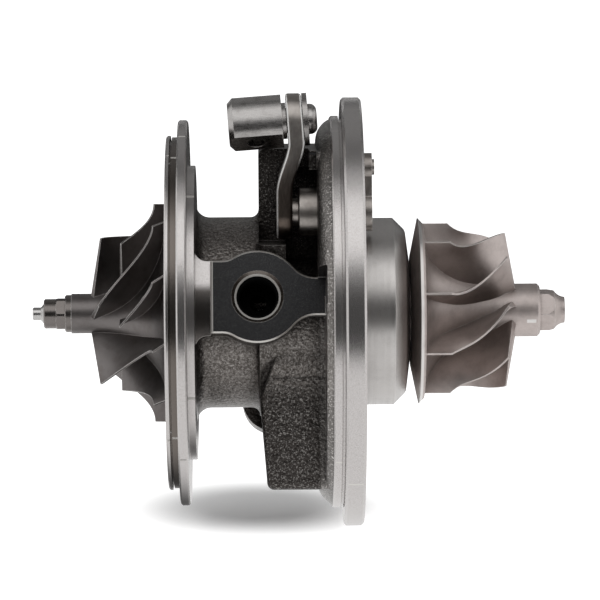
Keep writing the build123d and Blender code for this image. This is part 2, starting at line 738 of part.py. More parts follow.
def seal_insert():
    """The disc behind the compressor wheel, bored for the piston ring."""
    groove_r = insert_r - INSERT_GROOVE_DEPTH
    hub_r = THRUST_POCKET_R - INSERT_RING_W - INSERT_HUB_EASE
    chamber_r = THRUST_DISC_R + INSERT_CHAMBER_GAP
    x_chamber = x_flinger_front - INSERT_CHAMBER_EASE
    return turned([
        (x_recess, flinger_bore_r),
        (x_recess, hub_r),
        (x_insert_face, hub_r),
        (x_insert_face, insert_r),
        (x_insert_groove, insert_r),
        (x_insert_groove, groove_r),
        (x_insert_groove + INSERT_GROOVE_W, groove_r),
        (x_insert_groove + INSERT_GROOVE_W, insert_r),
        (x_deflector_front, insert_r),
        (x_deflector_front, chamber_r),
        (x_chamber, chamber_r),
        (x_chamber, flinger_bore_r),
    ])


def insert_o_ring():
    """The rubber seal between insert and housing."""
    section_r = (INSERT_GROOVE_DEPTH - SEAT_GAP) / 2
    middle = x_insert_groove + INSERT_GROOVE_W / 2
    section = Pos(middle, insert_r - INSERT_GROOVE_DEPTH / 2) * Circle(section_r)
    return revolve(section, Axis.X)


def insert_snap_ring():
    """The sprung ring that holds the insert in its pocket."""
    x_ring = x_insert_ring + SEAT_GAP
    outer_r = THRUST_POCKET_R + INSERT_RING_DEPTH - SEAT_GAP
    inner_r = THRUST_POCKET_R - INSERT_RING_W
    return split_ring(x_ring, x_ring + INSERT_RING_T, outer_r, inner_r, INSERT_RING_SPLIT, 0)


def channel_window(x_left, x_right, far):
    """The opening of the oil channel through a plate between two x values."""
    window = Box(
        x_right - x_left + 2 * OVERCUT,
        CHANNEL_W,
        far - CHANNEL_NEAR,
        align=(Align.MIN, Align.CENTER, Align.MIN),
    )
    return drain_plane * Pos(x_left - OVERCUT - x_drain, 0, CHANNEL_NEAR) * window


def oil_deflector():
    """The thin plate that keeps oil off the seal, with a window over the oil channel."""
    hole_r = THRUST_DISC_R + INSERT_CHAMBER_GAP
    plate = tube(x_deflector_front, x_thrust_front, DEFLECTOR_EDGE_R, hole_r)
    return plate - channel_window(x_deflector_front, x_thrust_front, CHANNEL_FAR)


def thrust_bearing():
    """The bronze thrust plate with its pad grooves and an oil hole."""
    plate = tube(x_thrust_front, x_pocket_floor, THRUST_PLATE_R, THRUST_SLEEVE_R + THRUST_BORE_GAP)
    groove = Box(2 * THRUST_PAD_DEPTH, THRUST_PAD_GROOVE, THRUST_DISC_R)
    for index in range(THRUST_PAD_COUNT):
        for x_face in [x_thrust_front, x_pocket_floor]:
            cut = Pos(x_face, 0, (THRUST_DISC_R + THRUST_SLEEVE_R) / 2) * groove
            plate -= Rot(index * 360 / THRUST_PAD_COUNT, 0, 0) * cut
    plate -= channel_window(x_thrust_front, x_pocket_floor, THRUST_PLATE_R + OVERCUT)
    feed = rod(Plane.YZ, THRUST_FEED_R, x_thrust_front - OVERCUT, x_pocket_floor + OVERCUT)
    return plate - Pos(GALLERY_HEIGHT * inlet_plane.z_dir) * feed


def thrust_collar():
    """The rotating thrust disc and its sleeve, clamped on the shaft's shoulder."""
    inner_r = STUD_R + FIT_GAP
    return turned([
        (x_flinger_back, inner_r),
        (x_flinger_back, THRUST_SLEEVE_R),
        (x_pocket_floor + THRUST_END_PLAY, THRUST_SLEEVE_R),
        (x_pocket_floor + THRUST_END_PLAY, THRUST_DISC_R),
        (x_shaft_shoulder, THRUST_DISC_R),
        (x_shaft_shoulder, inner_r),
    ])


def oil_flinger():
    """The rotating flinger with its sleeve and piston ring groove."""
    inner_r = STUD_R + FIT_GAP
    groove_r = FLINGER_SLEEVE_R - PISTON_RING_W
    return turned([
        (x_wheel_back, inner_r),
        (x_wheel_back, FLINGER_SLEEVE_R),
        (x_comp_ring_groove, FLINGER_SLEEVE_R),
        (x_comp_ring_groove, groove_r),
        (x_comp_ring_groove + ring_groove_w, groove_r),
        (x_comp_ring_groove + ring_groove_w, FLINGER_SLEEVE_R),
        (x_flinger_front, FLINGER_SLEEVE_R),
        (x_flinger_front, THRUST_DISC_R),
        (x_flinger_back, THRUST_DISC_R),
        (x_flinger_back, inner_r),
    ])


def piston_ring(x_groove, bore_r, groove_r):
    """A split sealing ring sprung into its bore, clear of its groove."""
    x_ring = x_groove + PISTON_RING_SIDE_GAP
    x_end = x_ring + PISTON_RING_T
    inner_r = groove_r + 2 * PISTON_RING_SIDE_GAP
    return split_ring(x_ring, x_end, bore_r - FIT_GAP, inner_r, PISTON_RING_SPLIT, PISTON_RING_ANGLE)


def compressor_piston_ring():
    """The seal ring between flinger and insert."""
    return piston_ring(x_comp_ring_groove, flinger_bore_r, FLINGER_SLEEVE_R - PISTON_RING_W)


def turbine_piston_ring():
    """The seal ring between turbine hub and housing."""
    return piston_ring(TURBINE_RING_X, turbine_bore_r, TURBINE_SEAL_R - PISTON_RING_W)


def bearing_stop_rings():
    """The four split rings that keep the two bushes in place."""
    outer_r = bearing_bore_r + STOP_RING_DEPTH - SEAT_GAP
    inner_r = (JOURNAL_R + bush_outer_r) / 2
    rings = []
    for x in stop_ring_places():
        rings.append(split_ring(x, x + STOP_RING_T, outer_r, inner_r, STOP_RING_SPLIT, 0))
    return rings


def journal_bush(x_left):
    """A floating bearing bush with a ring of oil holes."""
    bush = tube(x_left, x_left + BUSH_LENGTH, bush_outer_r, JOURNAL_R + RUN_GAP)
    for x in [x_left, x_left + BUSH_LENGTH]:
        bush = chamfer(rim_edges(bush, x, bush_outer_r), BUSH_CHAMFER)
    reach = 2 * (bush_outer_r + OVERCUT)
    hole = Pos(x_left + BUSH_LENGTH / 2, 0, 0) * Cylinder(BUSH_OIL_HOLE_R, reach)
    for index in range(BUSH_OIL_DRILLINGS):
        bush -= Rot(index * 180 / BUSH_OIL_DRILLINGS, 0, 0) * hole
    return bush


def rotor_shaft():
    """The shaft from the turbine weld to the tip beyond the nut."""
    weld_x = -TURBINE_SEAL_BACK_X
    waist_left = x_comp_bush + BUSH_LENGTH + WAIST_EASE
    waist_right = x_turbine_bush - WAIST_EASE
    x_tip = x_nut_front - SHAFT_TIP_LENGTH
    return turned([
        (x_tip, 0),
        (x_tip, SHAFT_TIP_R - SHAFT_TIP_CHAMFER),
        (x_tip + SHAFT_TIP_CHAMFER, SHAFT_TIP_R),
        (x_nut_front - SHAFT_TIP_FLARE, SHAFT_TIP_R),
        (x_nut_front, STUD_R),
        (x_shaft_shoulder, STUD_R),
        (x_shaft_shoulder, JOURNAL_R),
        (waist_left, JOURNAL_R),
        (waist_left + WAIST_EASE, WAIST_R),
        (waist_right - WAIST_EASE, WAIST_R),
        (waist_right, JOURNAL_R),
        (weld_x, JOURNAL_R),
        (weld_x, WELD_SPIGOT_R),
        (weld_x + WELD_SPIGOT_LENGTH, WELD_SPIGOT_R),
        (weld_x + WELD_SPIGOT_LENGTH, 0),
    ])


def blade(stations, root_t, tip_t, root_sink):
    """A blade lofted through stations of (hub x, r, angle) and (tip x, r, angle).

    The root is thickest where the blade is deepest and as thin as the tip at the rim.
    """
    roots = [around_x(*hub) for hub, tip in stations]
    tips = [around_x(*tip) for hub, tip in stations]
    depths = [tip[1] - hub[1] for hub, tip in stations]
    sections = []
    last = len(stations) - 1
    for index, (root, tip) in enumerate(zip(roots, tips)):
        before = max(index - 1, 0)
        after = min(index + 1, last)
        along = (roots[after] + tips[after]) - (roots[before] + tips[before])
        span = (tip - root).normalized()
        side = span.cross(along).normalized()
        foot = root - span * root_sink
        foot_t = tip_t + (root_t - tip_t) * depths[index] / max(depths)
        corners = [
            foot + side * foot_t / 2,
            tip + side * tip_t / 2,
            tip - side * tip_t / 2,
            foot - side * foot_t / 2,
        ]
        sections.append(make_face(Polyline(*corners, close=True)))
    return loft(sections)


def compressor_hub_point(s):
    """A point on the compressor hub, from the blades' inlet (0) to the rim (1)."""
    turn = s * pi / 2
    x = x_wheel_back - COMP_INLET_HUB_X + (COMP_INLET_HUB_X - COMP_RIM_T) * sin(turn)
    return x, COMP_NOSE_R + (COMP_TIP_R - COMP_NOSE_R) * (1 - cos(turn))


def compressor_tip_point(s):
    """A point on the shroud edge of the compressor blades."""
    length = COMP_INLET_TIP_X - COMP_EXIT_W
    distance = length * sin(s * pi / 2)
    curve_length = length - COMP_INLET_FLAT
    share = max(0.0, (distance - COMP_INLET_FLAT) / curve_length)
    rise = 1 - sqrt(max(0.0, 1 - share**2))
    x = x_wheel_back - COMP_INLET_TIP_X + distance
    return x, COMP_INLET_R + (COMP_TIP_R - COMP_INLET_R) * rise


def compressor_blade(start, turn):
    """One compressor blade from its start along the hub out to the rim."""
    stations = []
    for index in range(COMP_BLADE_STATIONS):
        s = start + (1 - start) * index / (COMP_BLADE_STATIONS - 1)
        left = (1 - s) ** 2
        tip_angle = turn + COMP_EXIT_ANGLE - COMP_WRAP * left
        hub_angle = tip_angle + COMP_EXIT_RAKE - COMP_LEAN * left
        hub = (*compressor_hub_point(s), hub_angle)
        tip = (*compressor_tip_point(s), tip_angle)
        stations.append((hub, tip))
    return blade(stations, COMP_ROOT_T, COMP_TIP_T, COMP_RIM_T / 2)


def compressor_wheel():
    """The compressor wheel: full blades and splitters in turn on a flared hub."""
    flare = [compressor_hub_point(index / HUB_CURVE_STEPS) for index in range(HUB_CURVE_STEPS + 1)]
    hub_line = Spline(*flare)
    nose_x = x_wheel_back - COMP_NOSE_X
    outline = hub_line + Polyline(
        flare[-1],
        (x_wheel_back, COMP_TIP_R),
        (x_wheel_back, STUD_R + FIT_GAP),
        (nose_x, STUD_R + FIT_GAP),
        (nose_x, COMP_NOSE_R),
        flare[0],
    )
    wheel = revolve(make_face(outline), Axis.X)
    pitch = 360 / COMP_BLADES
    for index in range(COMP_BLADES):
        wheel += compressor_blade(0.0, index * pitch)
        wheel += compressor_blade(SPLITTER_START, (index + 0.5) * pitch)
    return wheel


def compressor_nut():
    """The nut that clamps the wheel on the shaft: a collar, a hexagon and a round boss."""
    boss_r = NUT_HEX_FLATS / 2
    outside = turned([
        (x_nut_front, 0),
        (x_nut_front, boss_r - NUT_CHAMFER),
        (x_nut_front + NUT_CHAMFER, boss_r),
        (x_hex_front, boss_r),
        (x_hex_front + NUT_CHAMFER, NUT_HEX_R),
        (x_hex_back, NUT_HEX_R),
        (x_hex_back, 0),
    ])
    hexagon = RegularPolygon(boss_r, 6, major_radius=False)
    bar = Plane.YZ.offset(x_nut_front) * extrude(hexagon, x_hex_back - x_nut_front)
    nut = turned([
        (x_hex_back, 0),
        (x_hex_back, NUT_COLLAR_R - NUT_CHAMFER),
        (x_hex_back + NUT_CHAMFER, NUT_COLLAR_R),
        (x_nut_back, NUT_COLLAR_R),
        (x_nut_back, 0),
    ])
    nut += bar & outside
    return nut - tube(x_nut_front - OVERCUT, x_nut_back + OVERCUT, STUD_R + FIT_GAP)


def turbine_hub_point(s):
    """A point on the turbine hub, from the rim (0) to the blades' exit (1)."""
    turn = s * pi / 2
    x = x_turbine_disc_front + (TURBINE_EXIT_HUB_X - x_turbine_disc_front) * (1 - cos(turn))
    return x, TURBINE_BLADE_R - (TURBINE_BLADE_R - TURBINE_HUB_R) * sin(turn)


def turbine_wrap(x):
    """How far a turbine blade has turned by an x along the shaft."""
    share = max(0.0, (x - TURBINE_INLET_X) / (TURBINE_EXIT_X - TURBINE_INLET_X))
    return TURBINE_WRAP * share**TURBINE_WRAP_POWER


def turbine_blade(turn):
    """One turbine blade, straight at its inlet and wrapped towards its exit."""
    stations = []
    for index in range(TURBINE_BLADE_STATIONS):
        s = index / (TURBINE_BLADE_STATIONS - 1)
        hub_x, hub_r = turbine_hub_point(s)
        tip_x = TURBINE_INLET_X + (TURBINE_EXIT_X - TURBINE_INLET_X) * s
        dip = (1 - s) ** TURBINE_DIP_POWER
        tip_r = TURBINE_EXIT_R + (TURBINE_BLADE_R - TURBINE_EXIT_R) * dip
        base = turn + TURBINE_INLET_ANGLE
        hub = (hub_x, hub_r, base + turbine_wrap(hub_x))
        stations.append((hub, (tip_x, tip_r, base + turbine_wrap(tip_x))))
    return blade(stations, TURBINE_ROOT_T, TURBINE_TIP_T, TURBINE_RIM_T / 2)


def turbine_lug():
    """The six-sided lug that holds the wheel in assembly, its end rounded off."""
    hexagon = Rot(0, 0, TURBINE_LUG_TURN) * RegularPolygon(TURBINE_LUG_FLATS / 2, 6, major_radius=False)
    bar = Plane.YZ.offset(TURBINE_HUB_END_X) * extrude(hexagon, TURBINE_LUG_LENGTH)
    corner = (TURBINE_HUB_END_X + TURBINE_LUG_TAPER, TURBINE_LUG_CORNER_R)
    end = (x_lug_end, TURBINE_LUG_END_R)
    dome = RadiusArc(corner, end, -TURBINE_LUG_DOME_R)
    sides = Polyline(
        end,
        (x_lug_end, 0),
        (TURBINE_HUB_END_X, 0),
        (TURBINE_HUB_END_X, TURBINE_HUB_R - TURBINE_HUB_CHAMFER),
        corner,
    )
    return bar & revolve(make_face(dome + sides), Axis.X)


def turbine_wheel():
    """The turbine wheel with its seal journal, blades and turning lug."""
    flare = [turbine_hub_point(index / HUB_CURVE_STEPS) for index in range(HUB_CURVE_STEPS + 1)]
    groove_r = TURBINE_SEAL_R - PISTON_RING_W
    outline = Spline(*flare) + Polyline(
        flare[-1],
        (TURBINE_HUB_END_X - TURBINE_HUB_CHAMFER, TURBINE_HUB_R),
        (TURBINE_HUB_END_X, TURBINE_HUB_R - TURBINE_HUB_CHAMFER),
        (TURBINE_HUB_END_X, 0),
        (-TURBINE_SEAL_BACK_X, 0),
        (-TURBINE_SEAL_BACK_X, TURBINE_SEAL_R),
        (TURBINE_RING_X, TURBINE_SEAL_R),
        (TURBINE_RING_X, groove_r),
        (TURBINE_RING_X + ring_groove_w, groove_r),
        (TURBINE_RING_X + ring_groove_w, TURBINE_SEAL_R),
        (x_turbine_back, TURBINE_SEAL_R),
        (x_turbine_back, TURBINE_BACK_FLAT_R),
        (x_turbine_rim, turbine_tip_r),
        flare[0],
    )
    wheel = revolve(make_face(outline), Axis.X)
    for index in range(TURBINE_BLADES):
        wheel += turbine_blade(index * 360 / TURBINE_BLADES)
    wheel += turbine_lug()
    socket_end = WELD_SPIGOT_LENGTH - TURBINE_SEAL_BACK_X + SEAT_GAP
    return wheel - tube(-TURBINE_SEAL_BACK_X - OVERCUT, socket_end, WELD_SPIGOT_R + FIT_GAP)


def spindle_bush():
    """The pressed bush that the lever's spindle turns in."""
    bush = rod(pivot_plane, LEVER_BUSH_R, x_bush_front, -RING_RECESS_DEPTH)
    bush = chamfer(bush.faces().sort_by(Axis.X)[0].edges(), BUSH_CHAMFER)
    return bush - rod(pivot_plane, SPINDLE_R + RUN_GAP, x_bush_front - OVERCUT, OVERCUT)


def lever_spindle():
    """The spindle through the bush, flush with the outer and the inner lever."""
    spindle = rod(pivot_plane, SPINDLE_R, x_lever_left, INNER_LEVER_GAP + INNER_LEVER_T)
    return chamfer(spindle.faces().sort_by(Axis.X)[0].edges(), SPINDLE_CHAMFER)


def mitred(points, thickness):
    """The closed outline of a strap of one thickness along a bent centre line."""
    sides = ([], [])
    for index, point in enumerate(points):
        before = points[max(index - 1, 0)]
        after = points[min(index + 1, len(points) - 1)]
        turn_in = atan2(point[1] - before[1], point[0] - before[0]) if index else None
        turn_out = atan2(after[1] - point[1], after[0] - point[0]) if after != point else turn_in
        turn_in = turn_out if turn_in is None else turn_in
        middle = (turn_in + turn_out) / 2
        reach = thickness / 2 / cos((turn_out - turn_in) / 2)
        for side, sign in zip(sides, (1, -1)):
            side.append((point[0] - sign * reach * sin(middle), point[1] + sign * reach * cos(middle)))
    return sides[0] + sides[1][::-1]


def outer_lever():
    """The cranked strap lever: one outline from the front, the other from the side."""
    lean = tan(radians(LEVER_LEAN))
    top = LEVER_REACH + LEVER_EYE_R + LEVER_TOP_SPARE
    centre_line = [
        (x_lever_mid, pivot_z - LEVER_BOSS_R - LEVER_TOP_SPARE),
        (x_lever_mid, pivot_z + LEVER_JOG_START),
        (x_lever_mid + LEVER_JOG, pivot_z + LEVER_JOG_END),
        (x_lever_mid + LEVER_JOG - (top - LEVER_JOG_END) * lean, pivot_z + top),
    ]
    side_view = make_face(Polyline(*mitred(centre_line, LEVER_T), close=True))
    bends = [v for v in side_view.vertices() if pivot_z < v.Y < pivot_z + LEVER_REACH]
    side_view = fillet(bends, LEVER_T)
    strap = Plane.XZ.offset(-PIVOT_Y) * extrude(side_view, 2 * LEVER_EYE_R, both=True)
    boss = Circle(LEVER_BOSS_R)
    eye = Pos(0, LEVER_REACH) * Circle(LEVER_EYE_R)
    web = Pos(0, LEVER_REACH / 2) * Rectangle(LEVER_WAIST, LEVER_REACH)
    outline = pivot_plane.offset(x_lever_mid - 2 * LEVER_T) * extrude(boss + eye + web, 4 * LEVER_T)
    lever = strap & outline
    flat_sides = [face for face in lever.faces() if abs(face.normal_at().X) > 0.5]
    lever = chamfer(flat_sides[0].edges() + flat_sides[-1].edges(), LEVER_CHAMFER)
    lever -= rod(pivot_plane, SPINDLE_R + FIT_GAP, x_lever_mid - LEVER_T, x_lever_mid + LEVER_T)
    lever -= rod(trunnion_plane, TRUNNION_SHANK_R + RUN_GAP, -LEVER_T, LEVER_T)
    return lever


def inner_lever():
    """The short lever on the turbine side that drives the nozzle ring."""
    hub = Circle(INNER_LEVER_HUB_R)
    eye = Pos(0, INNER_LEVER_REACH) * Circle(INNER_LEVER_EYE_R)
    arm = Pos(0, INNER_LEVER_REACH / 2) * Rectangle(INNER_LEVER_WIDTH, INNER_LEVER_REACH)
    x_front = INNER_LEVER_GAP + INNER_LEVER_T
    lever = pivot_plane.offset(INNER_LEVER_GAP) * extrude(hub + eye + arm, INNER_LEVER_T)
    lever -= rod(pivot_plane, SPINDLE_R + FIT_GAP, -OVERCUT, x_front + OVERCUT)
    hole = rod(pivot_plane, DRIVE_PIN_R + FIT_GAP, -OVERCUT, x_front + OVERCUT)
    return lever - Pos(0, 0, INNER_LEVER_REACH) * hole


def drive_pin():
    """The pin in the end of the inner lever."""
    x_front = INNER_LEVER_GAP + INNER_LEVER_T + DRIVE_PIN_PROUD
    pin = rod(pivot_plane, DRIVE_PIN_R, INNER_LEVER_GAP, x_front)
    return Pos(0, 0, INNER_LEVER_REACH) * pin


def trunnion_pin():
    """The barrel that takes the actuator rod, with its shank peened behind the lever."""
    x_face = -LEVER_T / 2 - SIDE_PLAY
    x_barrel = x_face - TRUNNION_NECK_T
    barrel = extrude(Circle(TRUNNION_R), TRUNNION_LENGTH)
    barrel = chamfer(barrel.faces().sort_by(Axis.Z)[0].edges(), TRUNNION_CHAMFER)
    reach = 4 * TRUNNION_R
    flat = Box(reach, reach, reach, align=(Align.MIN, Align.CENTER, Align.CENTER))
    flat_turn = Rot(0, 0, 180 + TRUNNION_FLAT_ANGLE)
    barrel -= flat_turn * Pos(TRUNNION_R - TRUNNION_FLAT_CUT, 0, 0) * flat
    hole = Rot(0, 90, 0) * Cylinder(TRUNNION_HOLE_R, 4 * TRUNNION_R)
    barrel -= Pos(0, 0, TRUNNION_LENGTH / 2) * flat_turn * hole
    barrel = trunnion_plane.offset(x_barrel - TRUNNION_LENGTH) * barrel
    neck = rod(trunnion_plane, TRUNNION_NECK_R, x_barrel, x_face)
    x_washer = LEVER_T / 2 + SIDE_PLAY
    x_head = x_washer + TRUNNION_WASHER_T + SEAT_GAP
    shank = rod(trunnion_plane, TRUNNION_SHANK_R, x_face, x_head)
    head = rod(trunnion_plane, RIVET_HEAD_R, x_head, x_head + RIVET_HEAD_T)
    dome_edge = head.edges().sort_by(Axis.X)[-1]
    head = fillet(dome_edge, RIVET_HEAD_T * DOME_SHARE)
    return barrel + neck + shank + head


def trunnion_washer():
    """The washer under the peened end of the trunnion."""
    x_washer = LEVER_T / 2 + SIDE_PLAY
    washer = rod(trunnion_plane, TRUNNION_WASHER_R, x_washer, x_washer + TRUNNION_WASHER_T)
    return washer - rod(trunnion_plane, TRUNNION_SHANK_R + FIT_GAP, 0, 2 * LEVER_T)


os.makedirs("parts", exist_ok=True)

pieces = {
    "bearing_housing": bearing_housing(),
    "heat_shield": heat_shield(),
    "seal_insert": seal_insert(),
    "insert_o_ring": insert_o_ring(),
    "insert_snap_ring": insert_snap_ring(),
    "oil_deflector": oil_deflector(),
    "thrust_bearing": thrust_bearing(),
    "bearing_stop_rings": Compound(children=bearing_stop_rings()),
    "compressor_piston_ring": compressor_piston_ring(),
    "turbine_piston_ring": turbine_piston_ring(),
    "spindle_bush": spindle_bush(),
    "compressor_journal_bush": journal_bush(x_comp_bush),
    "turbine_journal_bush": journal_bush(x_turbine_bush),
    "rotor_shaft": rotor_shaft(),
    "turbine_wheel": turbine_wheel(),
    "compressor_wheel": compressor_wheel(),
    "compressor_nut": compressor_nut(),
    "thrust_collar": thrust_collar(),
    "oil_flinger": oil_flinger(),
    "lever_spindle": lever_spindle(),
    "outer_lever": outer_lever(),
    "inner_lever": inner_lever(),
    "drive_pin": drive_pin(),
    "trunnion_pin": trunnion_pin(),
    "trunnion_washer": trunnion_washer(),
}

for name, piece in pieces.items():
    export_step(piece, f"parts/{name}.step")
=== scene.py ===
"""Finish, light and camera for the turbo cartridge."""

import logging
import math
from dataclasses import dataclass
from enum import Enum
from functools import cached_property, reduce
from typing import Optional, Sequence, Union

import bmesh
import bpy
from mathutils import Matrix, Vector


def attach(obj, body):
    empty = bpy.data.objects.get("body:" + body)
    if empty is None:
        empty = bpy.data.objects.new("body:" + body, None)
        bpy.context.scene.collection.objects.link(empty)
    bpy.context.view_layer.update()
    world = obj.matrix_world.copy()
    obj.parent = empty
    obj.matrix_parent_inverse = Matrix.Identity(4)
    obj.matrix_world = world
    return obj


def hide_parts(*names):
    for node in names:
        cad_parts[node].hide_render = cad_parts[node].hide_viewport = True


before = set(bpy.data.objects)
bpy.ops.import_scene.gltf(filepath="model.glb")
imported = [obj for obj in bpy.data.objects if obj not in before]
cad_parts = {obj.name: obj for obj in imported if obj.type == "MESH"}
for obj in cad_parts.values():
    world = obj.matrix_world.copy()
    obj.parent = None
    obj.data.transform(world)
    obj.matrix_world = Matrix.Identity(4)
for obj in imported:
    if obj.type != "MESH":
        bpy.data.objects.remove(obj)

LOG = logging.getLogger("turbo_cartridge")
MM = 0.001
QUARTER_TURN = 90.0
WHITE = (1.0, 1.0, 1.0, 1.0)
BLACK = (0.0, 0.0, 0.0)
NO_W = 0.0  # for a texture's second input, W, which has no use in three dimensions

Socket = bpy.types.NodeSocket
Builder = bmesh.types.BMesh
Edges = list[bmesh.types.BMEdge]
Colour = tuple[float, float, float]
Span = tuple[float, float]
Feed = Union[float, Sequence[float], Socket]


def shade(value: Feed) -> Feed:
    """Returns a colour with full alpha, or a socket as it is."""
    return value if isinstance(value, Socket) else (*value, 1.0)


def around(value: float, spread: Span) -> Span:
    """Returns a value moved to each end of a spread."""
    return value + spread[0], value + spread[1]


def eased(value: float) -> float:
    """Returns a value held from 0 to 1, with a soft start and a soft end."""
    share = min(max(value, 0.0), 1.0)
    return share * share * (3.0 - 2.0 * share)


def towards(angle: float) -> Vector:
    """Returns the direction at an angle in degrees, up from the camera's side."""
    lean = math.radians(angle)
    return Vector((0.0, -math.cos(lean), math.sin(lean)))


class Axis(Enum):
    """The part's own axes, as unit vectors."""

    SHAFT = (1.0, 0.0, 0.0)
    UP = (0.0, 0.0, 1.0)


@dataclass(frozen=True)
class HousingSizes:
    """Places on the bearing housing that its finish follows, in millimetres."""

    flange_left: float = -7.7
    neck_left: float = -40.7
    relief_right: float = -36.9
    block_left: float = -25.5
    collar_left: float = -10.6
    relief_r: float = 26.0
    band_front: float = -46.75
    band_back: float = -44.8
    inlet_x: float = -25.6
    inlet_lean: float = 13.0
    pad_height: float = 27.0
    pad_chamfer: float = 0.4
    thread_r: float = 5.1
    thread_sink: float = 1.2
    bore_floor: float = 2.0
    sink_spare: float = 0.25

    @property
    def inlet_normal(self) -> Vector:
        """Returns the direction that the oil inlet pad faces."""
        return towards(self.inlet_lean)

    @property
    def sink_r(self) -> float:
        """Returns the countersink's radius at the pad."""
        return self.thread_r + self.thread_sink

    @property
    def sink_floor(self) -> float:
        """Returns the height under which the inlet is all thread."""
        return self.pad_height - self.thread_sink - self.sink_spare

    @property
    def chamfer_middle(self) -> float:
        """Returns the height of the middle of the pad's chamfer."""
        return self.pad_height - self.pad_chamfer / 2


HOUSING = HousingSizes()


class NodeSheet:
    """A node tree, with short calls that add nodes and join them."""

    def __init__(self, owner: Union[bpy.types.Material, bpy.types.World]) -> None:
        """Clears the owner's tree.

        Args:
            owner: The material or world to build on.
        """
        owner.use_nodes = True
        self.tree = owner.node_tree
        self.tree.nodes.clear()

    def feed(self, socket: Socket, value: Feed) -> None:
        """Joins a socket to another, or sets its value.

        Args:
            socket: The input socket.
            value: An output socket, a number or a colour.
        """
        if isinstance(value, Socket):
            self.tree.links.new(value, socket)
        else:
            socket.default_value = value

    def add(self, kind: str, *inputs: Feed, **settings: Union[str, int]) -> bpy.types.Node:
        """Adds a node.

        Args:
            kind: The node's type.
            *inputs: What its first inputs get, in order.
            **settings: Its own settings, by name.

        Returns:
            The node.
        """
        node = self.tree.nodes.new(kind)
        for name, value in settings.items():
            setattr(node, name, value)
        for socket, value in zip(node.inputs, inputs):
            self.feed(socket, value)
        return node

    def maths(self, operation: str, *values: Feed, clamp: bool = False) -> Socket:
        """Returns the result of a Math node."""
        return self.add("ShaderNodeMath", *values, operation=operation, use_clamp=clamp).outputs[0]

    def product(self, *values: Feed) -> Socket:
        """Returns numbers multiplied, which for masks is where all of them lie."""
        return reduce(lambda first, second: self.maths("MULTIPLY", first, second), values)

    def largest(self, *values: Feed) -> Socket:
        """Returns the largest of some numbers, which for masks is where any of them lies."""
        return reduce(lambda first, second: self.maths("MAXIMUM", first, second), values)

    def inverse(self, mask: Feed) -> Socket:
        """Returns 1 less a mask."""
        return self.maths("SUBTRACT", 1.0, mask)

    def above(self, value: Feed, level: float) -> Socket:
        """Returns 1 where a value is over a level, and 0 elsewhere."""
        return self.maths("GREATER_THAN", value, level)

    def below(self, value: Feed, level: float) -> Socket:
        """Returns 1 where a value is under a level, and 0 elsewhere."""
        return self.maths("LESS_THAN", value, level)

    def close_to(self, value: Feed, middle: float, reach: float) -> Socket:
        """Returns 1 where a value is within a reach of a middle, and 0 elsewhere."""
        return self.maths("COMPARE", value, middle, reach)

    def less(self, vector: Socket, point: Sequence[float]) -> Socket:
        """Returns a vector socket less a point."""
        return self.add("ShaderNodeVectorMath", vector, point, operation="SUBTRACT").outputs["Vector"]

    def stretched(self, vector: Socket, factors: Sequence[float]) -> Socket:
        """Returns a vector socket times one factor for each axis."""
        return self.add("ShaderNodeVectorMath", vector, factors, operation="MULTIPLY").outputs["Vector"]

    def along(self, vector: Socket, direction: Feed) -> Socket:
        """Returns how far a vector socket reaches along a direction."""
        return self.add("ShaderNodeVectorMath", vector, direction, operation="DOT_PRODUCT").outputs["Value"]

    def length(self, vector: Socket) -> Socket:
        """Returns a vector socket's length."""
        return self.add("ShaderNodeVectorMath", vector, operation="LENGTH").outputs["Value"]

    def pair(self, first: Feed, second: Feed) -> Socket:
        """Returns a vector made of two numbers."""
        return self.add("ShaderNodeCombineXYZ", first, second).outputs["Vector"]

    def ramp(self, value: Feed, low: float, high: float, start: float = 0.0, end: float = 1.0) -> Socket:
        """Returns a value mapped softly, so that low gives start and high gives end."""
        inputs = value, low, high, start, end
        return self.add("ShaderNodeMapRange", *inputs, interpolation_type="SMOOTHSTEP").outputs["Result"]

    def noise(self, vector: Feed, scale: float, detail: float = 2.0, roughness: float = 0.5) -> Socket:
        """Returns a Noise Texture's value, with its scale for each millimetre."""
        return self.add("ShaderNodeTexNoise", vector, NO_W, scale, detail, roughness).outputs["Fac"]

    def mix(self, kind: str, factor: Feed, first: Feed, second: Feed) -> Socket:
        """Adds a Mix node.

        Args:
            kind: What it mixes.
            factor: The second input's share.
            first: Its first input.
            second: Its second input.

        Returns:
            The result's socket.
        """
        node = self.add("ShaderNodeMix", data_type=kind)
        for name, value in (("Factor", factor), ("A", first), ("B", second)):
            self.feed(node.inputs[name], value)
        return node.outputs["Result"]

    def blend(self, factor: Feed, first: Feed, second: Feed) -> Socket:
        """Returns the mix of two colours."""
        return self.mix("RGBA", factor, shade(first), shade(second))

    def either(self, factor: Feed, first: Feed, second: Feed) -> Socket:
        """Returns the mix of two numbers."""
        return self.mix("FLOAT", factor, first, second)


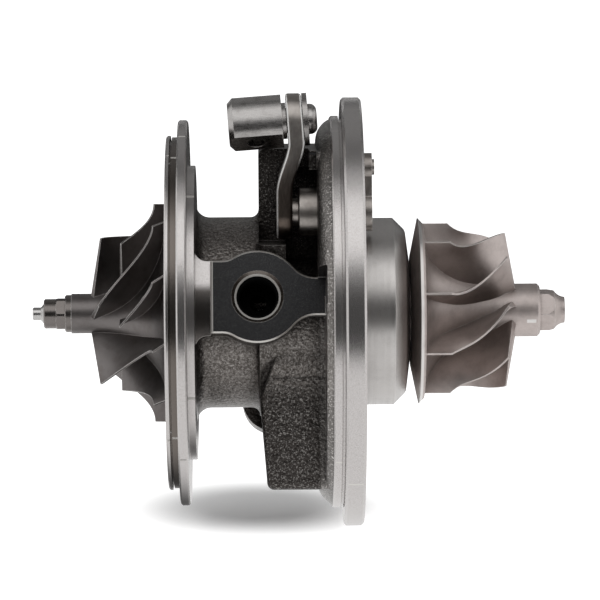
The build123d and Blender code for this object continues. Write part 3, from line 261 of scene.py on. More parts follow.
class NodeBoard(NodeSheet):
    """A material's node tree, with its shader and the places on the part."""

    bevel_samples: int = 6
    open_samples: int = 4
    bump_strength: float = 1.0
    edge_start: float = 0.985
    edge_full: float = 0.85

    def __init__(self, name: str) -> None:
        """Makes a material with its shader and coordinates.

        Args:
            name: The material's name.
        """
        self.material = bpy.data.materials.new(name)
        super().__init__(self.material)
        self.output = self.add("ShaderNodeOutputMaterial")
        self.shader = self.add("ShaderNodeBsdfPrincipled")
        self.feed(self.output.inputs["Surface"], self.shader.outputs["BSDF"])
        coordinates = self.add("ShaderNodeTexCoord").outputs
        self.normal = coordinates["Normal"]
        self.metres = coordinates["Object"]
        self.place = self.stretched(self.metres, (1.0 / MM,) * 3)

    @cached_property
    def x(self) -> Socket:
        """Returns the place along the shaft, in millimetres."""
        return self.along(self.place, Axis.SHAFT.value)

    @cached_property
    def z(self) -> Socket:
        """Returns the height over the shaft, in millimetres."""
        return self.along(self.place, Axis.UP.value)

    @cached_property
    def radius(self) -> Socket:
        """Returns the distance from the shaft's line, in millimetres."""
        return self.length(self.stretched(self.place, (0.0, 1.0, 1.0)))

    @cached_property
    def endwise(self) -> Socket:
        """Returns how squarely the surface faces along the shaft, from 0 to 1."""
        return self.maths("ABSOLUTE", self.along(self.normal, Axis.SHAFT.value))

    def cells(self, scale: float) -> Socket:
        """Returns the distance to the nearest point of a Voronoi Texture."""
        return self.add("ShaderNodeTexVoronoi", self.place, NO_W, scale).outputs["Distance"]

    def turned_lines(self, scale: float) -> Socket:
        """Returns fine rings about the shaft, as a lathe leaves them."""
        return self.noise(self.pair(self.x, self.radius), scale, roughness=0.7)

    def rounded_normal(self, radius_mm: float) -> Socket:
        """Returns the normal of the surface with its sharp edges rounded."""
        return self.add("ShaderNodeBevel", radius_mm * MM, samples=self.bevel_samples).outputs["Normal"]

    def edge(self, radius_mm: float) -> Socket:
        """Returns a mask that is 1 on the surface's sharp edges."""
        turn = self.along(self.rounded_normal(radius_mm), self.add("ShaderNodeNewGeometry").outputs["Normal"])
        return self.ramp(turn, self.edge_start, self.edge_full)

    def openness(self, reach_mm: float, low: float, high: float) -> Socket:
        """Returns a mask of the places that are open all round, and 0 in an inner corner."""
        settings = {"samples": self.open_samples, "only_local": True}
        node = self.add("ShaderNodeAmbientOcclusion", WHITE, reach_mm * MM, **settings)
        return self.ramp(node.outputs["AO"], low, high)

    def bump(self, height: Feed, depth_mm: float, normal: Optional[Socket] = None) -> Socket:
        """Adds a Bump node.

        Args:
            height: The height's socket, from 0 to 1.
            depth_mm: How deep a height of 1 is.
            normal: The normal that it works on.

        Returns:
            The normal's socket.
        """
        node = self.add("ShaderNodeBump", self.bump_strength, depth_mm * MM)
        self.feed(node.inputs["Height"], height)
        if normal is not None:
            self.feed(node.inputs["Normal"], normal)
        return node.outputs["Normal"]

    def finish(self, colour: Feed, metallic: Feed, roughness: Feed, normal: Optional[Socket] = None) -> None:
        """Joins the shader's main inputs.

        Args:
            colour: The base colour.
            metallic: How metallic it is.
            roughness: Its roughness.
            normal: Its normal, if it isn't the surface's own.
        """
        inputs = {"Base Color": shade(colour), "Metallic": metallic, "Roughness": roughness}
        if normal is not None:
            inputs["Normal"] = normal
        for name, value in inputs.items():
            self.feed(self.shader.inputs[name], value)

    def matte(self, colour: Colour) -> None:
        """Makes the surface fully rough and without gloss."""
        self.finish(colour, 0.0, 1.0)
        self.shader.inputs["Specular IOR Level"].default_value = 0.0

    def fed(self, name: str) -> Socket:
        """Returns what feeds one of the shader's inputs."""
        return self.shader.inputs[name].links[0].from_socket


@dataclass(frozen=True)
class Finish:
    """What every finish has: a name and a way to make its material."""

    name: str

    def build(self) -> bpy.types.Material:
        """Makes the finish's material.

        Returns:
            The new material.
        """
        board = NodeBoard(self.name)
        self.paint(board)
        return board.material

    def paint(self, board: NodeBoard) -> None:
        """Fills the board; each kind of finish has its own.

        Args:
            board: The material's board.
        """
        raise NotImplementedError


@dataclass(frozen=True)
class MachinedMetal(Finish):
    """Steel or alloy cut on a lathe, ground or pressed."""

    colour: Colour
    roughness: float
    lines_per_mm: float = 3.0
    line_depth: float = 0.003
    line_span: Span = (0.3, 0.7)
    gloss_spread: Span = (-0.05, 0.07)
    grain_depth: float = 0.006
    grain_scale: float = 6.0
    speckle_span: Span = (0.35, 0.75)
    speckle_amount: float = 0.2
    stain: Colour = (0.10, 0.085, 0.075)
    stain_amount: float = 0.15
    cloud_scale: float = 0.13
    cloud_span: Span = (0.42, 0.72)
    # Edge colour: partly wear, partly a painted highlight.
    edge_colour: Colour = (0.78, 0.76, 0.74)
    edge_mm: float = 0.18
    edge_amount: float = 0.7

    def paint(self, board: NodeBoard) -> None:
        """Fills the board with turned lines, fine grain, faint stains, and pale edges that are partly wear and
        partly a painted highlight.

        Args:
            board: The material's board.
        """
        lines = board.turned_lines(self.lines_per_mm)
        grain = board.noise(board.place, self.grain_scale, detail=3.0, roughness=0.65)
        cloud = board.noise(board.place, self.cloud_scale, detail=4.0, roughness=0.6)
        stained = board.ramp(cloud, *self.cloud_span, 0.0, self.stain_amount)
        colour = board.blend(stained, self.colour, self.stain)
        specks = board.ramp(grain, *self.speckle_span, 0.0, self.speckle_amount)
        colour = board.blend(specks, colour, self.stain)
        # Pale edges: partly wear, partly a painted highlight where a lamp would catch them.
        wear_and_highlight = board.product(board.edge(self.edge_mm), self.edge_amount)
        colour = board.blend(wear_and_highlight, colour, self.edge_colour)
        roughness = board.ramp(lines, *self.line_span, *around(self.roughness, self.gloss_spread))
        normal = board.bump(lines, self.line_depth, board.rounded_normal(self.edge_mm))
        board.finish(colour, 1.0, roughness, board.bump(grain, self.grain_depth, normal))


@dataclass(frozen=True)
class BrushedMetal(Finish):
    """Steel with fine scratches along one direction."""

    colour: Colour
    roughness: float
    stretch: tuple[float, float, float] = (1.0, 1.0, 1.0)
    grain_scale: float = 4.0
    grain_depth: float = 0.006
    grain_span: Span = (0.3, 0.7)
    gloss_spread: Span = (-0.06, 0.08)
    stain: Colour = (0.09, 0.07, 0.06)
    stain_amount: float = 0.35
    cloud_scale: float = 0.22
    cloud_span: Span = (0.4, 0.7)
    edge_colour: Colour = (0.75, 0.73, 0.70)
    edge_mm: float = 0.3
    edge_amount: float = 0.8
    edge_metallic: float = 1.0
    outer_edges_only: bool = False
    open_reaches: float = 3.0
    open_span: Span = (0.72, 0.92)

    def paint(self, board: NodeBoard) -> None:
        """Fills the board with brushed grain, stains, and pale edges that are partly wear and partly a painted
        highlight.

        Args:
            board: The material's board.
        """
        brushed = board.stretched(board.place, self.stretch)
        brushed = board.noise(brushed, self.grain_scale, detail=3.0, roughness=0.7)
        cloud = board.noise(board.place, self.cloud_scale, detail=4.0, roughness=0.65)
        stained = board.ramp(cloud, *self.cloud_span, 0.0, self.stain_amount)
        wear_and_highlight = board.edge(self.edge_mm)
        if self.outer_edges_only:
            reach = self.open_reaches * self.edge_mm
            wear_and_highlight = board.product(wear_and_highlight, board.openness(reach, *self.open_span))
        colour = board.blend(stained, self.colour, self.stain)
        # Pale edges: partly wear, partly a painted highlight.
        colour = board.blend(board.product(wear_and_highlight, self.edge_amount), colour, self.edge_colour)
        metallic = board.either(wear_and_highlight, 1.0, self.edge_metallic) if self.edge_metallic < 1.0 else 1.0
        roughness = board.ramp(brushed, *self.grain_span, *around(self.roughness, self.gloss_spread))
        normal = board.bump(brushed, self.grain_depth, board.rounded_normal(self.edge_mm))
        board.finish(colour, metallic, roughness, normal)


@dataclass(frozen=True)
class StrapMetal(BrushedMetal):
    """Blanked strap steel with painted highlights on its rounded edges and painted shade towards its lower end.
    """

    lower_shade_colour: Colour = (0.085, 0.062, 0.048)
    lower_shade_z: Span = (44.0, 30.0)
    lower_shade_amount: float = 0.85
    # The rounded edges' painted highlight: its colour, gloss and metallic, the facing it covers, how it dims
    # lower down, and where it fades out on the right-facing edge.
    rim_colour: Colour = (0.97, 0.96, 0.94)
    rim_roughness: float = 0.24
    rim_metallic: float = 0.1
    rim_from: Span = (0.35, 0.50)
    rim_to: Span = (0.97, 0.90)
    lit_z: Span = (30.0, 42.0)
    lit_low: float = 0.7
    fade_z: Span = (41.0, 35.0)

    def paint(self, board: NodeBoard) -> None:
        """Fills the board with the strap's steel.

        Args:
            board: The material's board.
        """
        super().paint(board)
        # Painted shade, darker towards the strap's lower end.
        lower_shade = board.ramp(board.z, *self.lower_shade_z, 0.0, self.lower_shade_amount)
        side = board.endwise
        to_right = board.above(board.along(board.normal, Axis.SHAFT.value), 0.0)
        # Painted highlight on the rounded edges, dimmer lower down and gone from the lower part of the
        # right-facing edge.
        rim = board.product(
            board.ramp(side, *self.rim_from),
            board.ramp(side, *self.rim_to),
            board.ramp(board.z, *self.lit_z, self.lit_low, 1.0),
            board.inverse(board.product(to_right, board.ramp(board.z, *self.fade_z))),
        )
        colour = board.blend(rim, board.blend(lower_shade, board.fed("Base Color"), self.lower_shade_colour), self.rim_colour)
        roughness = board.either(rim, board.fed("Roughness"), self.rim_roughness)
        board.finish(colour, board.either(rim, 1.0, self.rim_metallic), roughness)


@dataclass(frozen=True)
class WheelAlloy(BrushedMetal):
    """Cast wheel alloy with painted shade between its blades and a ground balance mark on its hub."""

    blade_shade_colour: Colour = (0.11, 0.09, 0.082)
    blade_shade_reach: float = 9.0
    blade_shade_span: Span = (0.22, 0.72)
    blade_shade_amount: float = 0.72
    rim_r: float = 21.85
    rim_x: Span = (14.75, 14.55)
    rim_colour: Colour = (0.74, 0.71, 0.69)
    rim_roughness: float = 0.28
    mark_x: float = 41.65
    mark_length: float = 2.3
    mark_width: float = 0.9
    mark_angle: float = -20.0
    mark_r: float = 6.0
    mark_colour: Colour = (0.80, 0.78, 0.76)

    def paint(self, board: NodeBoard) -> None:
        """Fills the board with the alloy, the painted shade between its blades, its bright rim and the mark.

        Args:
            board: The material's board.
        """
        super().paint(board)
        # Painted shade where the blades close in on each other.
        in_corner_shade = board.inverse(board.openness(self.blade_shade_reach, *self.blade_shade_span))
        colour = board.blend(board.product(in_corner_shade, self.blade_shade_amount), board.fed("Base Color"), self.blade_shade_colour)
        outward = board.along(board.place, towards(self.mark_angle))
        across = board.along(board.place, towards(self.mark_angle + QUARTER_TURN))
        mark = board.product(
            board.close_to(board.x, self.mark_x, self.mark_length / 2),
            board.above(outward, self.mark_r),
            board.close_to(across, 0.0, self.mark_width / 2),
        )
        colour = board.blend(mark, colour, self.mark_colour)
        rim = board.product(board.above(board.radius, self.rim_r), board.ramp(board.x, *self.rim_x))
        colour = board.blend(rim, colour, self.rim_colour)
        board.feed(board.shader.inputs["Base Color"], colour)
        roughness = board.either(rim, board.fed("Roughness"), self.rim_roughness)
        board.feed(board.shader.inputs["Roughness"], roughness)


@dataclass(frozen=True)
class MaskSizes:
    """How far the housing's masks reach from the places they follow, in millimetres, and their shares."""

    face: float = 0.02
    relief: float = 0.1
    bore: float = 0.05
    sink_inner: float = 0.38
    sink_edge: float = 0.19
    sink_edge_half: float = 0.3
    pad: float = 0.05
    pad_facing: float = 0.97
    side: float = 0.26
    side_past: float = 0.6
    side_facing: Span = (0.4, 0.5)
    rim: float = 0.03
    rim_facing: Span = (0.7, 0.22)
    rim_clear: float = 0.3
    # The dark band round the relief at the shaft's height: its half length, its low and high edges in height,
    # and its share.
    relief_band_half: float = 1.85
    relief_band_low: Span = (-7.6, -7.0)
    relief_band_high: Span = (9.5, 7.0)
    stain_amount: float = 0.85
    # The block's painted shade: where it starts along the shaft, the heights it grows over and its shares.
    block: Span = (-0.8, 0.8)
    block_shade_z: Span = (13.0, 20.0)
    block_shade_amounts: Span = (0.1, 0.80)
    collar: Span = (-0.5, 0.5)


EASE = MaskSizes()


class HousingMasks:
    """Masks of the housing's surfaces, each 1 on what it is named for and 0 elsewhere."""

    def __init__(self, board: NodeBoard) -> None:
        """Adds the masks' nodes.

        Args:
            board: The material's board.
        """
        x, z, normal = board.x, board.z, HOUSING.inlet_normal
        height = board.along(board.place, normal)
        level = board.maths("ABSOLUTE", height)
        facing = board.maths("ABSOLUTE", board.along(board.normal, normal))
        across = board.along(board.place, (0.0, -normal.z, normal.y))
        distance = board.length(board.pair(board.maths("SUBTRACT", x, HOUSING.inlet_x), across))
        by_sink = board.above(height, HOUSING.sink_floor)
        in_sink = board.below(distance, HOUSING.sink_r + EASE.bore)
        by_relief = board.below(x, HOUSING.relief_right)
        on_relief = board.above(board.radius, HOUSING.relief_r - EASE.relief)
        self.cut = board.largest(
            board.above(x, HOUSING.flange_left + EASE.face),
            board.below(x, HOUSING.neck_left + EASE.face),
            board.product(by_relief, on_relief),
            board.product(by_sink, in_sink),
        )
        past_front = board.above(x, HOUSING.band_front - EASE.face)
        self.band = board.product(past_front, board.below(x, HOUSING.band_back - EASE.face))
        self.sink = board.product(by_sink, board.above(distance, HOUSING.thread_r + EASE.sink_inner), in_sink)
        # The countersink's edge carries a painted highlight.
        edge_r = HOUSING.thread_r + EASE.sink_edge
        self.sink_edge = board.product(by_sink, board.close_to(distance, edge_r, EASE.sink_edge_half))
        self.bore = board.product(
            board.below(height, HOUSING.sink_floor),
            board.above(height, HOUSING.bore_floor),
            board.below(distance, HOUSING.thread_r + EASE.bore),
        )
        on_pad = board.close_to(level, HOUSING.pad_height, EASE.pad)
        self.pad = board.product(on_pad, board.above(facing, EASE.pad_facing))
        # Masks of the pad's sides and chamfer, which carry a painted highlight.
        self.pad_side = board.product(
            board.close_to(level, HOUSING.chamfer_middle, EASE.side),
            board.below(x, HOUSING.relief_right + EASE.side_past),
            board.ramp(facing, *EASE.side_facing),
        )
        self.pad_rim = board.product(
            board.close_to(level, HOUSING.chamfer_middle, HOUSING.pad_chamfer / 2 + EASE.rim),
            board.close_to(facing, *EASE.rim_facing),
            board.above(distance, HOUSING.sink_r + EASE.rim_clear),
        )
        # A dark band round the relief at the shaft's height.
        self.stain = board.product(
            board.close_to(x, (HOUSING.neck_left + HOUSING.relief_right) / 2, EASE.relief_band_half),
            board.ramp(z, *EASE.relief_band_low),
            board.ramp(z, *EASE.relief_band_high),
            EASE.stain_amount,
        )
        # Painted shade on the block, darker towards its top and bottom.
        shade_by_height = board.ramp(board.maths("ABSOLUTE", z), *EASE.block_shade_z, *EASE.block_shade_amounts)
        self.block = board.product(board.ramp(x, *around(HOUSING.block_left, EASE.block)), shade_by_height)
        # The collar, where painted glints and a painted highlight are laid thicker.
        self.collar = board.ramp(x, *around(HOUSING.collar_left, EASE.collar))


@dataclass(frozen=True)
class CastHousing(Finish):
    """Sand-cast iron, machined on its flanges, pads and bores."""

    skin_dark: Colour = (0.085, 0.075, 0.068)
    skin_light: Colour = (0.26, 0.24, 0.225)
    skin_roughness: float = 0.33
    skin_metallic: float = 0.9
    tone_scale: float = 1.3
    tone_span: Span = (0.38, 0.68)
    # Colour of the painted shade on the block and in corners.
    shade_colour: Colour = (0.020, 0.017, 0.015)
    # Glints are painted highlights on the grains; the collar gets more of them, and a painted highlight all
    # over.
    glint_colour: Colour = (0.72, 0.69, 0.66)
    glint_scale: float = 2.4
    glint_span: Span = (0.52, 0.66)
    glint_amounts: Span = (0.30, 0.85)
    collar_least: float = 0.22
    # Painted shade in corners and under overhangs.
    corner_shade_reach: float = 5.0
    corner_shade_span: Span = (0.55, 0.93)
    corner_shade_amount: float = 0.88
    grit_scale: float = 1.15
    grit_depth: float = 0.17
    cell_share: float = 0.6
    lump_scale: float = 0.45
    lump_depth: float = 0.15
    cut_colour: Colour = (0.60, 0.575, 0.565)
    cut_roughness: float = 0.27
    cut_speck: Colour = (0.16, 0.145, 0.13)
    cut_specks: Span = (0.4, 0.75)
    cut_amount: float = 0.32
    line_scale: float = 3.0
    line_depth: float = 0.0025
    fine_scale: float = 5.0
    fine_depth: float = 0.009
    end_face: Span = (0.7, 0.95)
    end_face_grain: float = 0.25
    relief_band_colour: Colour = (0.055, 0.046, 0.040)
    band_colour: Colour = (0.17, 0.15, 0.135)
    pad_colour: Colour = (0.045, 0.045, 0.047)
    pad_roughness: float = 0.5
    pad_speck: Colour = (0.15, 0.15, 0.15)
    pad_specks: Span = (0.45, 0.75)
    pad_amount: float = 0.8
    # Near black down the inlet's bore: painted shade.
    bore_shade_colour: Colour = (0.006, 0.006, 0.006)
    bore_roughness: float = 0.7
    # Pale colour for worn edges, and for the painted highlights on the pad and on the countersink's edge.
    edge_colour: Colour = (0.62, 0.60, 0.57)
    edge_mm: float = 0.22
    edge_metallic: float = 0.2
    edge_amounts: Span = (0.25, 0.85)

    def paint(self, board: NodeBoard) -> None:
        """Fills the board with cast skin, and with turned metal where the housing is cut.

        Args:
            board: The material's board.
        """
        at = HousingMasks(board)
        # A painted highlight on the pad's chamfer and sides.
        pad_highlight = board.largest(at.pad_rim, at.pad_side)
        smooth = board.largest(at.cut, pad_highlight, at.pad, at.bore)
        fine = board.noise(board.place, self.fine_scale, detail=3.0, roughness=0.7)
        colour = board.blend(at.cut, self.skin_tone(board, at), self.cut_tone(board, at, fine))
        specks = board.ramp(fine, *self.pad_specks, 0.0, self.pad_amount)
        pad_tone = board.blend(specks, self.pad_colour, self.pad_speck)
        colour = board.blend(board.maths("SUBTRACT", at.pad, at.pad_side, clamp=True), colour, pad_tone)
        wear_and_highlight = board.product(board.edge(self.edge_mm), board.either(smooth, *self.edge_amounts))
        colour = board.blend(board.largest(wear_and_highlight, pad_highlight), colour, self.edge_colour)
        # Painted shade down the bore.
        colour = board.blend(at.bore, colour, self.bore_shade_colour)
        roughness = board.either(at.cut, self.skin_roughness, self.cut_roughness)
        roughness = board.either(at.pad, roughness, self.pad_roughness)
        roughness = board.either(at.bore, roughness, self.bore_roughness)
        metallic = board.either(at.cut, self.skin_metallic, 1.0)
        # Low metallic on the pad's sides and the countersink's edge lets the lamps light their painted
        # highlight evenly.
        metallic = board.either(board.largest(at.sink_edge, at.pad_side), metallic, self.edge_metallic)
        board.finish(colour, metallic, roughness, self.relief(board, at.cut, smooth, fine))

    def skin_tone(self, board: NodeBoard, at: HousingMasks) -> Socket:
        """Adds the colour of the cast skin, with painted shade on the block and in its corners, and painted
        glints that stand in for highlights on its grains and collar.

        Args:
            board: The material's board.
            at: The housing's masks.

        Returns:
            The colour's socket.
        """
        tone = board.noise(board.place, self.tone_scale, detail=4.0, roughness=0.75)
        skin = board.blend(board.ramp(tone, *self.tone_span), self.skin_dark, self.skin_light)
        # Painted shade on the block.
        skin = board.blend(at.block, skin, self.shade_colour)
        # Painted glints: pale specks that stand in for highlights, thicker on the collar, which also gets a
        # painted highlight of its own.
        glint = board.noise(board.place, self.glint_scale, roughness=0.6)
        glint = board.product(board.ramp(glint, *self.glint_span), board.either(at.collar, *self.glint_amounts))
        glint = board.largest(glint, board.product(at.collar, self.collar_least))
        skin = board.blend(glint, skin, self.glint_colour)
        # Painted shade: darker where the surface is closed in, in corners and under the pad.
        in_corner_shade = board.inverse(board.openness(self.corner_shade_reach, *self.corner_shade_span))
        return board.blend(board.product(in_corner_shade, self.corner_shade_amount), skin, self.shade_colour)

    def cut_tone(self, board: NodeBoard, at: HousingMasks, fine: Socket) -> Socket:
        """Adds the colour of the turned metal, with its dark bands and a dark band on the relief at the shaft's
        height.

        Args:
            board: The material's board.
            at: The housing's masks.
            fine: The fine grain.

        Returns:
            The colour's socket.
        """
        specks = board.ramp(fine, *self.cut_specks, 0.0, self.cut_amount)
        tone = board.blend(specks, self.cut_colour, self.cut_speck)
        tone = board.blend(at.band, tone, self.band_colour)
        tone = board.blend(at.sink, tone, self.band_colour)
        # Darkens a band round the relief at the shaft's height.
        tone = board.blend(at.stain, tone, self.relief_band_colour)
        # A painted highlight: the countersink's edge ring in the pale edge colour.
        return board.blend(at.sink_edge, tone, self.edge_colour)

    def relief(self, board: NodeBoard, cut: Socket, smooth: Socket, fine: Socket) -> Socket:
        """Adds the skin's lumps and grit, the turned lines and the fine grain.

        Args:
            board: The material's board.
            cut: The mask of the turned metal.
            smooth: The mask of all that isn't cast skin.
            fine: The fine grain.

        Returns:
            The normal's socket.
        """
        rough = board.inverse(smooth)
        lumps = board.product(board.noise(board.place, self.lump_scale), rough)
        grit = board.noise(board.place, self.grit_scale, detail=3.0, roughness=0.7)
        grit = board.maths("SUBTRACT", grit, board.product(board.cells(self.grit_scale), self.cell_share))
        lines = board.product(board.turned_lines(self.line_scale), cut)
        on_end = board.ramp(board.endwise, *self.end_face, 1.0, self.end_face_grain)
        normal = board.bump(lumps, self.lump_depth, board.rounded_normal(self.edge_mm))
        normal = board.bump(board.product(grit, rough), self.grit_depth, normal)
        normal = board.bump(lines, self.line_depth, normal)
        return board.bump(board.product(fine, smooth, on_end), self.fine_depth, normal)


@dataclass(frozen=True)
class Rubber(Finish):
    """Black rubber with a faint bloom."""

    colour: Colour = (0.018, 0.017, 0.017)
    bloom: Colour = (0.05, 0.048, 0.046)
    bloom_scale: float = 0.8
    bloom_span: Span = (0.35, 0.75)
    grain_scale: float = 7.0
    grain_depth: float = 0.01
    roughness: float = 0.48

    def paint(self, board: NodeBoard) -> None:
        """Fills the board with a dull black.

        Args:
            board: The material's board.
        """
        cloud = board.ramp(board.noise(board.place, self.bloom_scale, detail=4.0), *self.bloom_span)
        normal = board.bump(board.noise(board.place, self.grain_scale), self.grain_depth)
        board.finish(board.blend(cloud, self.colour, self.bloom), 0.0, self.roughness, normal)


# The wheels' near-white convex edges are a painted highlight with some wear; their low metallic lets the lamps
# light them evenly.
WHEEL_EDGE = {
    "edge_colour": (0.96, 0.94, 0.91),
    "edge_amount": 0.95,
    "edge_metallic": 0.3,
    "outer_edges_only": True,
}
ALONG_UP = (1.0, 1.0, 0.15)
ALONG_SHAFT = (0.12, 1.0, 1.0)


class Metal(Enum):
    """The finishes of the metal pieces."""

    HOUSING = CastHousing("cast_iron_finish")
    SHIELD = MachinedMetal("heat_shield_finish", (0.60, 0.58, 0.565), 0.32, line_depth=0.002, grain_depth=0.010)
    MACHINED = MachinedMetal("machined_steel_finish", (0.46, 0.45, 0.44), 0.32)
    RING = MachinedMetal("ring_steel_finish", (0.34, 0.34, 0.35), 0.3)
    BRONZE = MachinedMetal("bearing_bronze_finish", (0.52, 0.34, 0.15), 0.3, stain=(0.2, 0.1, 0.04))
    SHAFT = MachinedMetal("shaft_steel_finish", (0.56, 0.55, 0.54), 0.22)
    NUT = MachinedMetal("nut_steel_finish", (0.20, 0.182, 0.174), 0.22, line_depth=0.01, edge_mm=0.12)
    TURBINE = WheelAlloy(
        "turbine_alloy_finish", (0.59, 0.525, 0.50), 0.46,
        edge_mm=0.26, grain_depth=0.016, stain_amount=0.2, **WHEEL_EDGE,
    )
    COMPRESSOR = BrushedMetal("compressor_alloy_finish", (0.20, 0.185, 0.18), 0.4, edge_mm=0.28, **WHEEL_EDGE)
    LEVER = BrushedMetal("lever_steel_finish", (0.40, 0.37, 0.345), 0.36, stretch=ALONG_UP)
    STRAP = StrapMetal("strap_steel_finish", (0.42, 0.39, 0.365), 0.34, stretch=ALONG_UP)
    BARREL = BrushedMetal(
        "trunnion_steel_finish", (0.44, 0.425, 0.415), 0.28, stretch=ALONG_SHAFT, edge_mm=0.2,
    )


@dataclass
class Dressing:
    """One finish on a group of the frame's nodes."""

    finish: Finish
    nodes: tuple[str, ...]

    def apply(self) -> None:
        """Puts the finish on each node of the group."""
        material = self.finish.build()
        for name in self.nodes:
            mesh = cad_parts[name].data
            mesh.materials.clear()
            mesh.materials.append(material)
            LOG.info("%s: %s", name, self.finish.name)


@dataclass(frozen=True)
class Card:
    """A curved card about the shaft's line that only metal mirrors."""

    name: str
    radius: float
    low: float
    high: float
    tone: float
    half_width: float = 0.36
    steps: int = 24

    def build(self) -> None:
        """Builds the card from its low angle to its high one, both up from the camera's side."""
        builder = bmesh.new()
        start = towards(self.low) * self.radius
        ends = [builder.verts.new((side, start.y, start.z)) for side in (-self.half_width, self.half_width)]
        bmesh.ops.spin(
            builder, geom=[builder.edges.new(ends)], cent=(0.0, 0.0, 0.0), axis=Axis.SHAFT.value,
            angle=-math.radians(self.high - self.low), steps=self.steps, use_merge=False, use_duplicate=False,
        )
        card = mesh_object(self.name, builder)
        board = NodeBoard(self.name + "_grey")
        board.matte(BLACK)
        board.shader.inputs["Emission Color"].default_value = WHITE
        board.shader.inputs["Emission Strength"].default_value = self.tone
        card.data.materials.append(board.material)
        card.visible_camera = False
        card.visible_diffuse = False
        card.visible_shadow = False
        card.visible_transmission = False


@dataclass(frozen=True)
class Softbox:
    """A wide soft lamp that points at the object."""

    name: str
    angle: float
    distance: float
    width: float
    depth: float
    radiance: float
    middle_x: float = -0.02

    def build(self) -> None:
        """Hangs the lamp at its angle, up from the camera's side."""
        light = bpy.data.lights.new(self.name, "AREA")
        light.shape = "RECTANGLE"
        light.size = self.width
        light.size_y = self.depth
        light.energy = self.radiance * math.pi * self.width * self.depth
        lamp = bpy.data.objects.new(self.name, light)
        back = towards(self.angle)
        lamp.location = Vector((self.middle_x, 0.0, 0.0)) + back * self.distance
        lamp.rotation_euler = (-back).to_track_quat("-Z", "Y").to_euler()
        bpy.context.scene.collection.objects.link(lamp)


@dataclass
class Studio:
    """The floor, the world, the soft lamps and the cards that the metal mirrors."""

    floor_z: float = -0.0528
    floor_half: float = 40.0
    floor_tone: float = 0.86
    floor_glow: float = 0.15
    shadow_x: float = -0.026
    shadow_y: float = 0.034
    shadow_half_x: float = 0.042
    shadow_half_y: float = 0.066
    shadow_span: Span = (0.3, 1.0)
    # A painted shadow spot that only reflections show, under the compressor flange.
    reflected_shadow_x: float = -0.052
    reflected_shadow_half: float = 0.034
    reflected_shadow_span: Span = (0.2, 1.0)
    reflected_shadow_low: float = 0.12
    ambient: float = 0.35
    backdrop: float = 1.0
    softboxes: tuple[Softbox, ...] = (
        Softbox("key_softbox", 46.0, 0.55, 1.0, 0.43, 0.85),
        Softbox("high_softbox", 75.0, 0.57, 1.0, 0.16, 0.40),
        Softbox("back_softbox", 125.0, 0.70, 1.0, 0.56, 0.16),
    )
    cards: tuple[Card, ...] = (
        Card("front_card", 0.195, -16.0, 18.5, 0.066),
        Card("front_edge_card", 0.195, 18.5, 27.5, 0.35),
        Card("back_edge_card", 0.195, 149.0, 157.0, 0.35),
        Card("back_card", 0.195, 157.0, 196.0, 0.05),
        Card("front_sky_card", 1.5, 20.0, 70.0, 0.36, half_width=1.6),
        Card("top_sky_card", 1.5, 70.0, 104.0, 0.14, half_width=1.6),
        Card("back_sky_card", 1.5, 104.0, 160.0, 0.09, half_width=1.6),
    )

    def build(self) -> None:
        """Builds the floor, the world, the lamps and the cards."""
        self.add_world()
        self.add_floor()
        for item in self.softboxes + self.cards:
            item.build()

    def add_world(self) -> None:
        """Makes the world white where it is seen or mirrored, and a soft fill elsewhere."""
        world = bpy.data.worlds.new("studio_world")
        bpy.context.scene.world = world
        sheet = NodeSheet(world)
        rays = sheet.add("ShaderNodeLightPath").outputs
        seen = sheet.largest(rays["Is Camera Ray"], rays["Is Glossy Ray"], rays["Is Transmission Ray"])
        fill = sheet.add("ShaderNodeBackground", WHITE, self.ambient).outputs[0]
        white = sheet.add("ShaderNodeBackground", WHITE, self.backdrop).outputs[0]
        mix = sheet.add("ShaderNodeMixShader", seen, fill, white).outputs[0]
        sheet.add("ShaderNodeOutputWorld", mix)

    def add_floor(self) -> None:
        """Makes a wide white floor that shows the object's shadow close to it, and in reflections a painted
        shadow spot under the compressor flange.
        """
        builder = bmesh.new()
        bmesh.ops.create_grid(builder, x_segments=1, y_segments=1, size=self.floor_half)
        bmesh.ops.translate(builder, vec=(0.0, 0.0, self.floor_z), verts=builder.verts)
        floor = mesh_object("studio_floor", builder)
        board = NodeBoard("floor_white")
        board.matte((self.floor_tone,) * 3)
        rays = board.add("ShaderNodeLightPath").outputs
        mirrored = board.largest(rays["Is Glossy Ray"], rays["Is Transmission Ray"])
        from_shadow = board.less(board.metres, (self.shadow_x, self.shadow_y, self.floor_z))
        reach = board.stretched(from_shadow, (1.0 / self.shadow_half_x, 1.0 / self.shadow_half_y, 0.0))
        clear = board.ramp(board.length(reach), *self.shadow_span, self.floor_glow, 1.0)
        # Painted shadow in reflections: the floor's mirrored glow dims in a spot under the compressor flange.
        from_reflected_shadow = board.less(board.metres, (self.reflected_shadow_x, 0.0, self.floor_z))
        near = board.stretched(from_reflected_shadow, (1.0 / self.reflected_shadow_half, 1.0 / self.reflected_shadow_half, 0.0))
        reflected_shadow = board.ramp(board.length(near), *self.reflected_shadow_span, self.reflected_shadow_low, 1.0)
        seen = board.product(rays["Is Camera Ray"], clear)
        strength = board.largest(seen, board.product(mirrored, reflected_shadow))
        glow = board.add("ShaderNodeEmission", WHITE, strength).outputs[0]
        lit = board.add("ShaderNodeAddShader", board.shader.outputs["BSDF"], glow).outputs[0]
        white = board.add("ShaderNodeMixShader", mirrored, lit, glow).outputs[0]
        board.feed(board.output.inputs["Surface"], white)
        floor.data.materials.append(board.material)


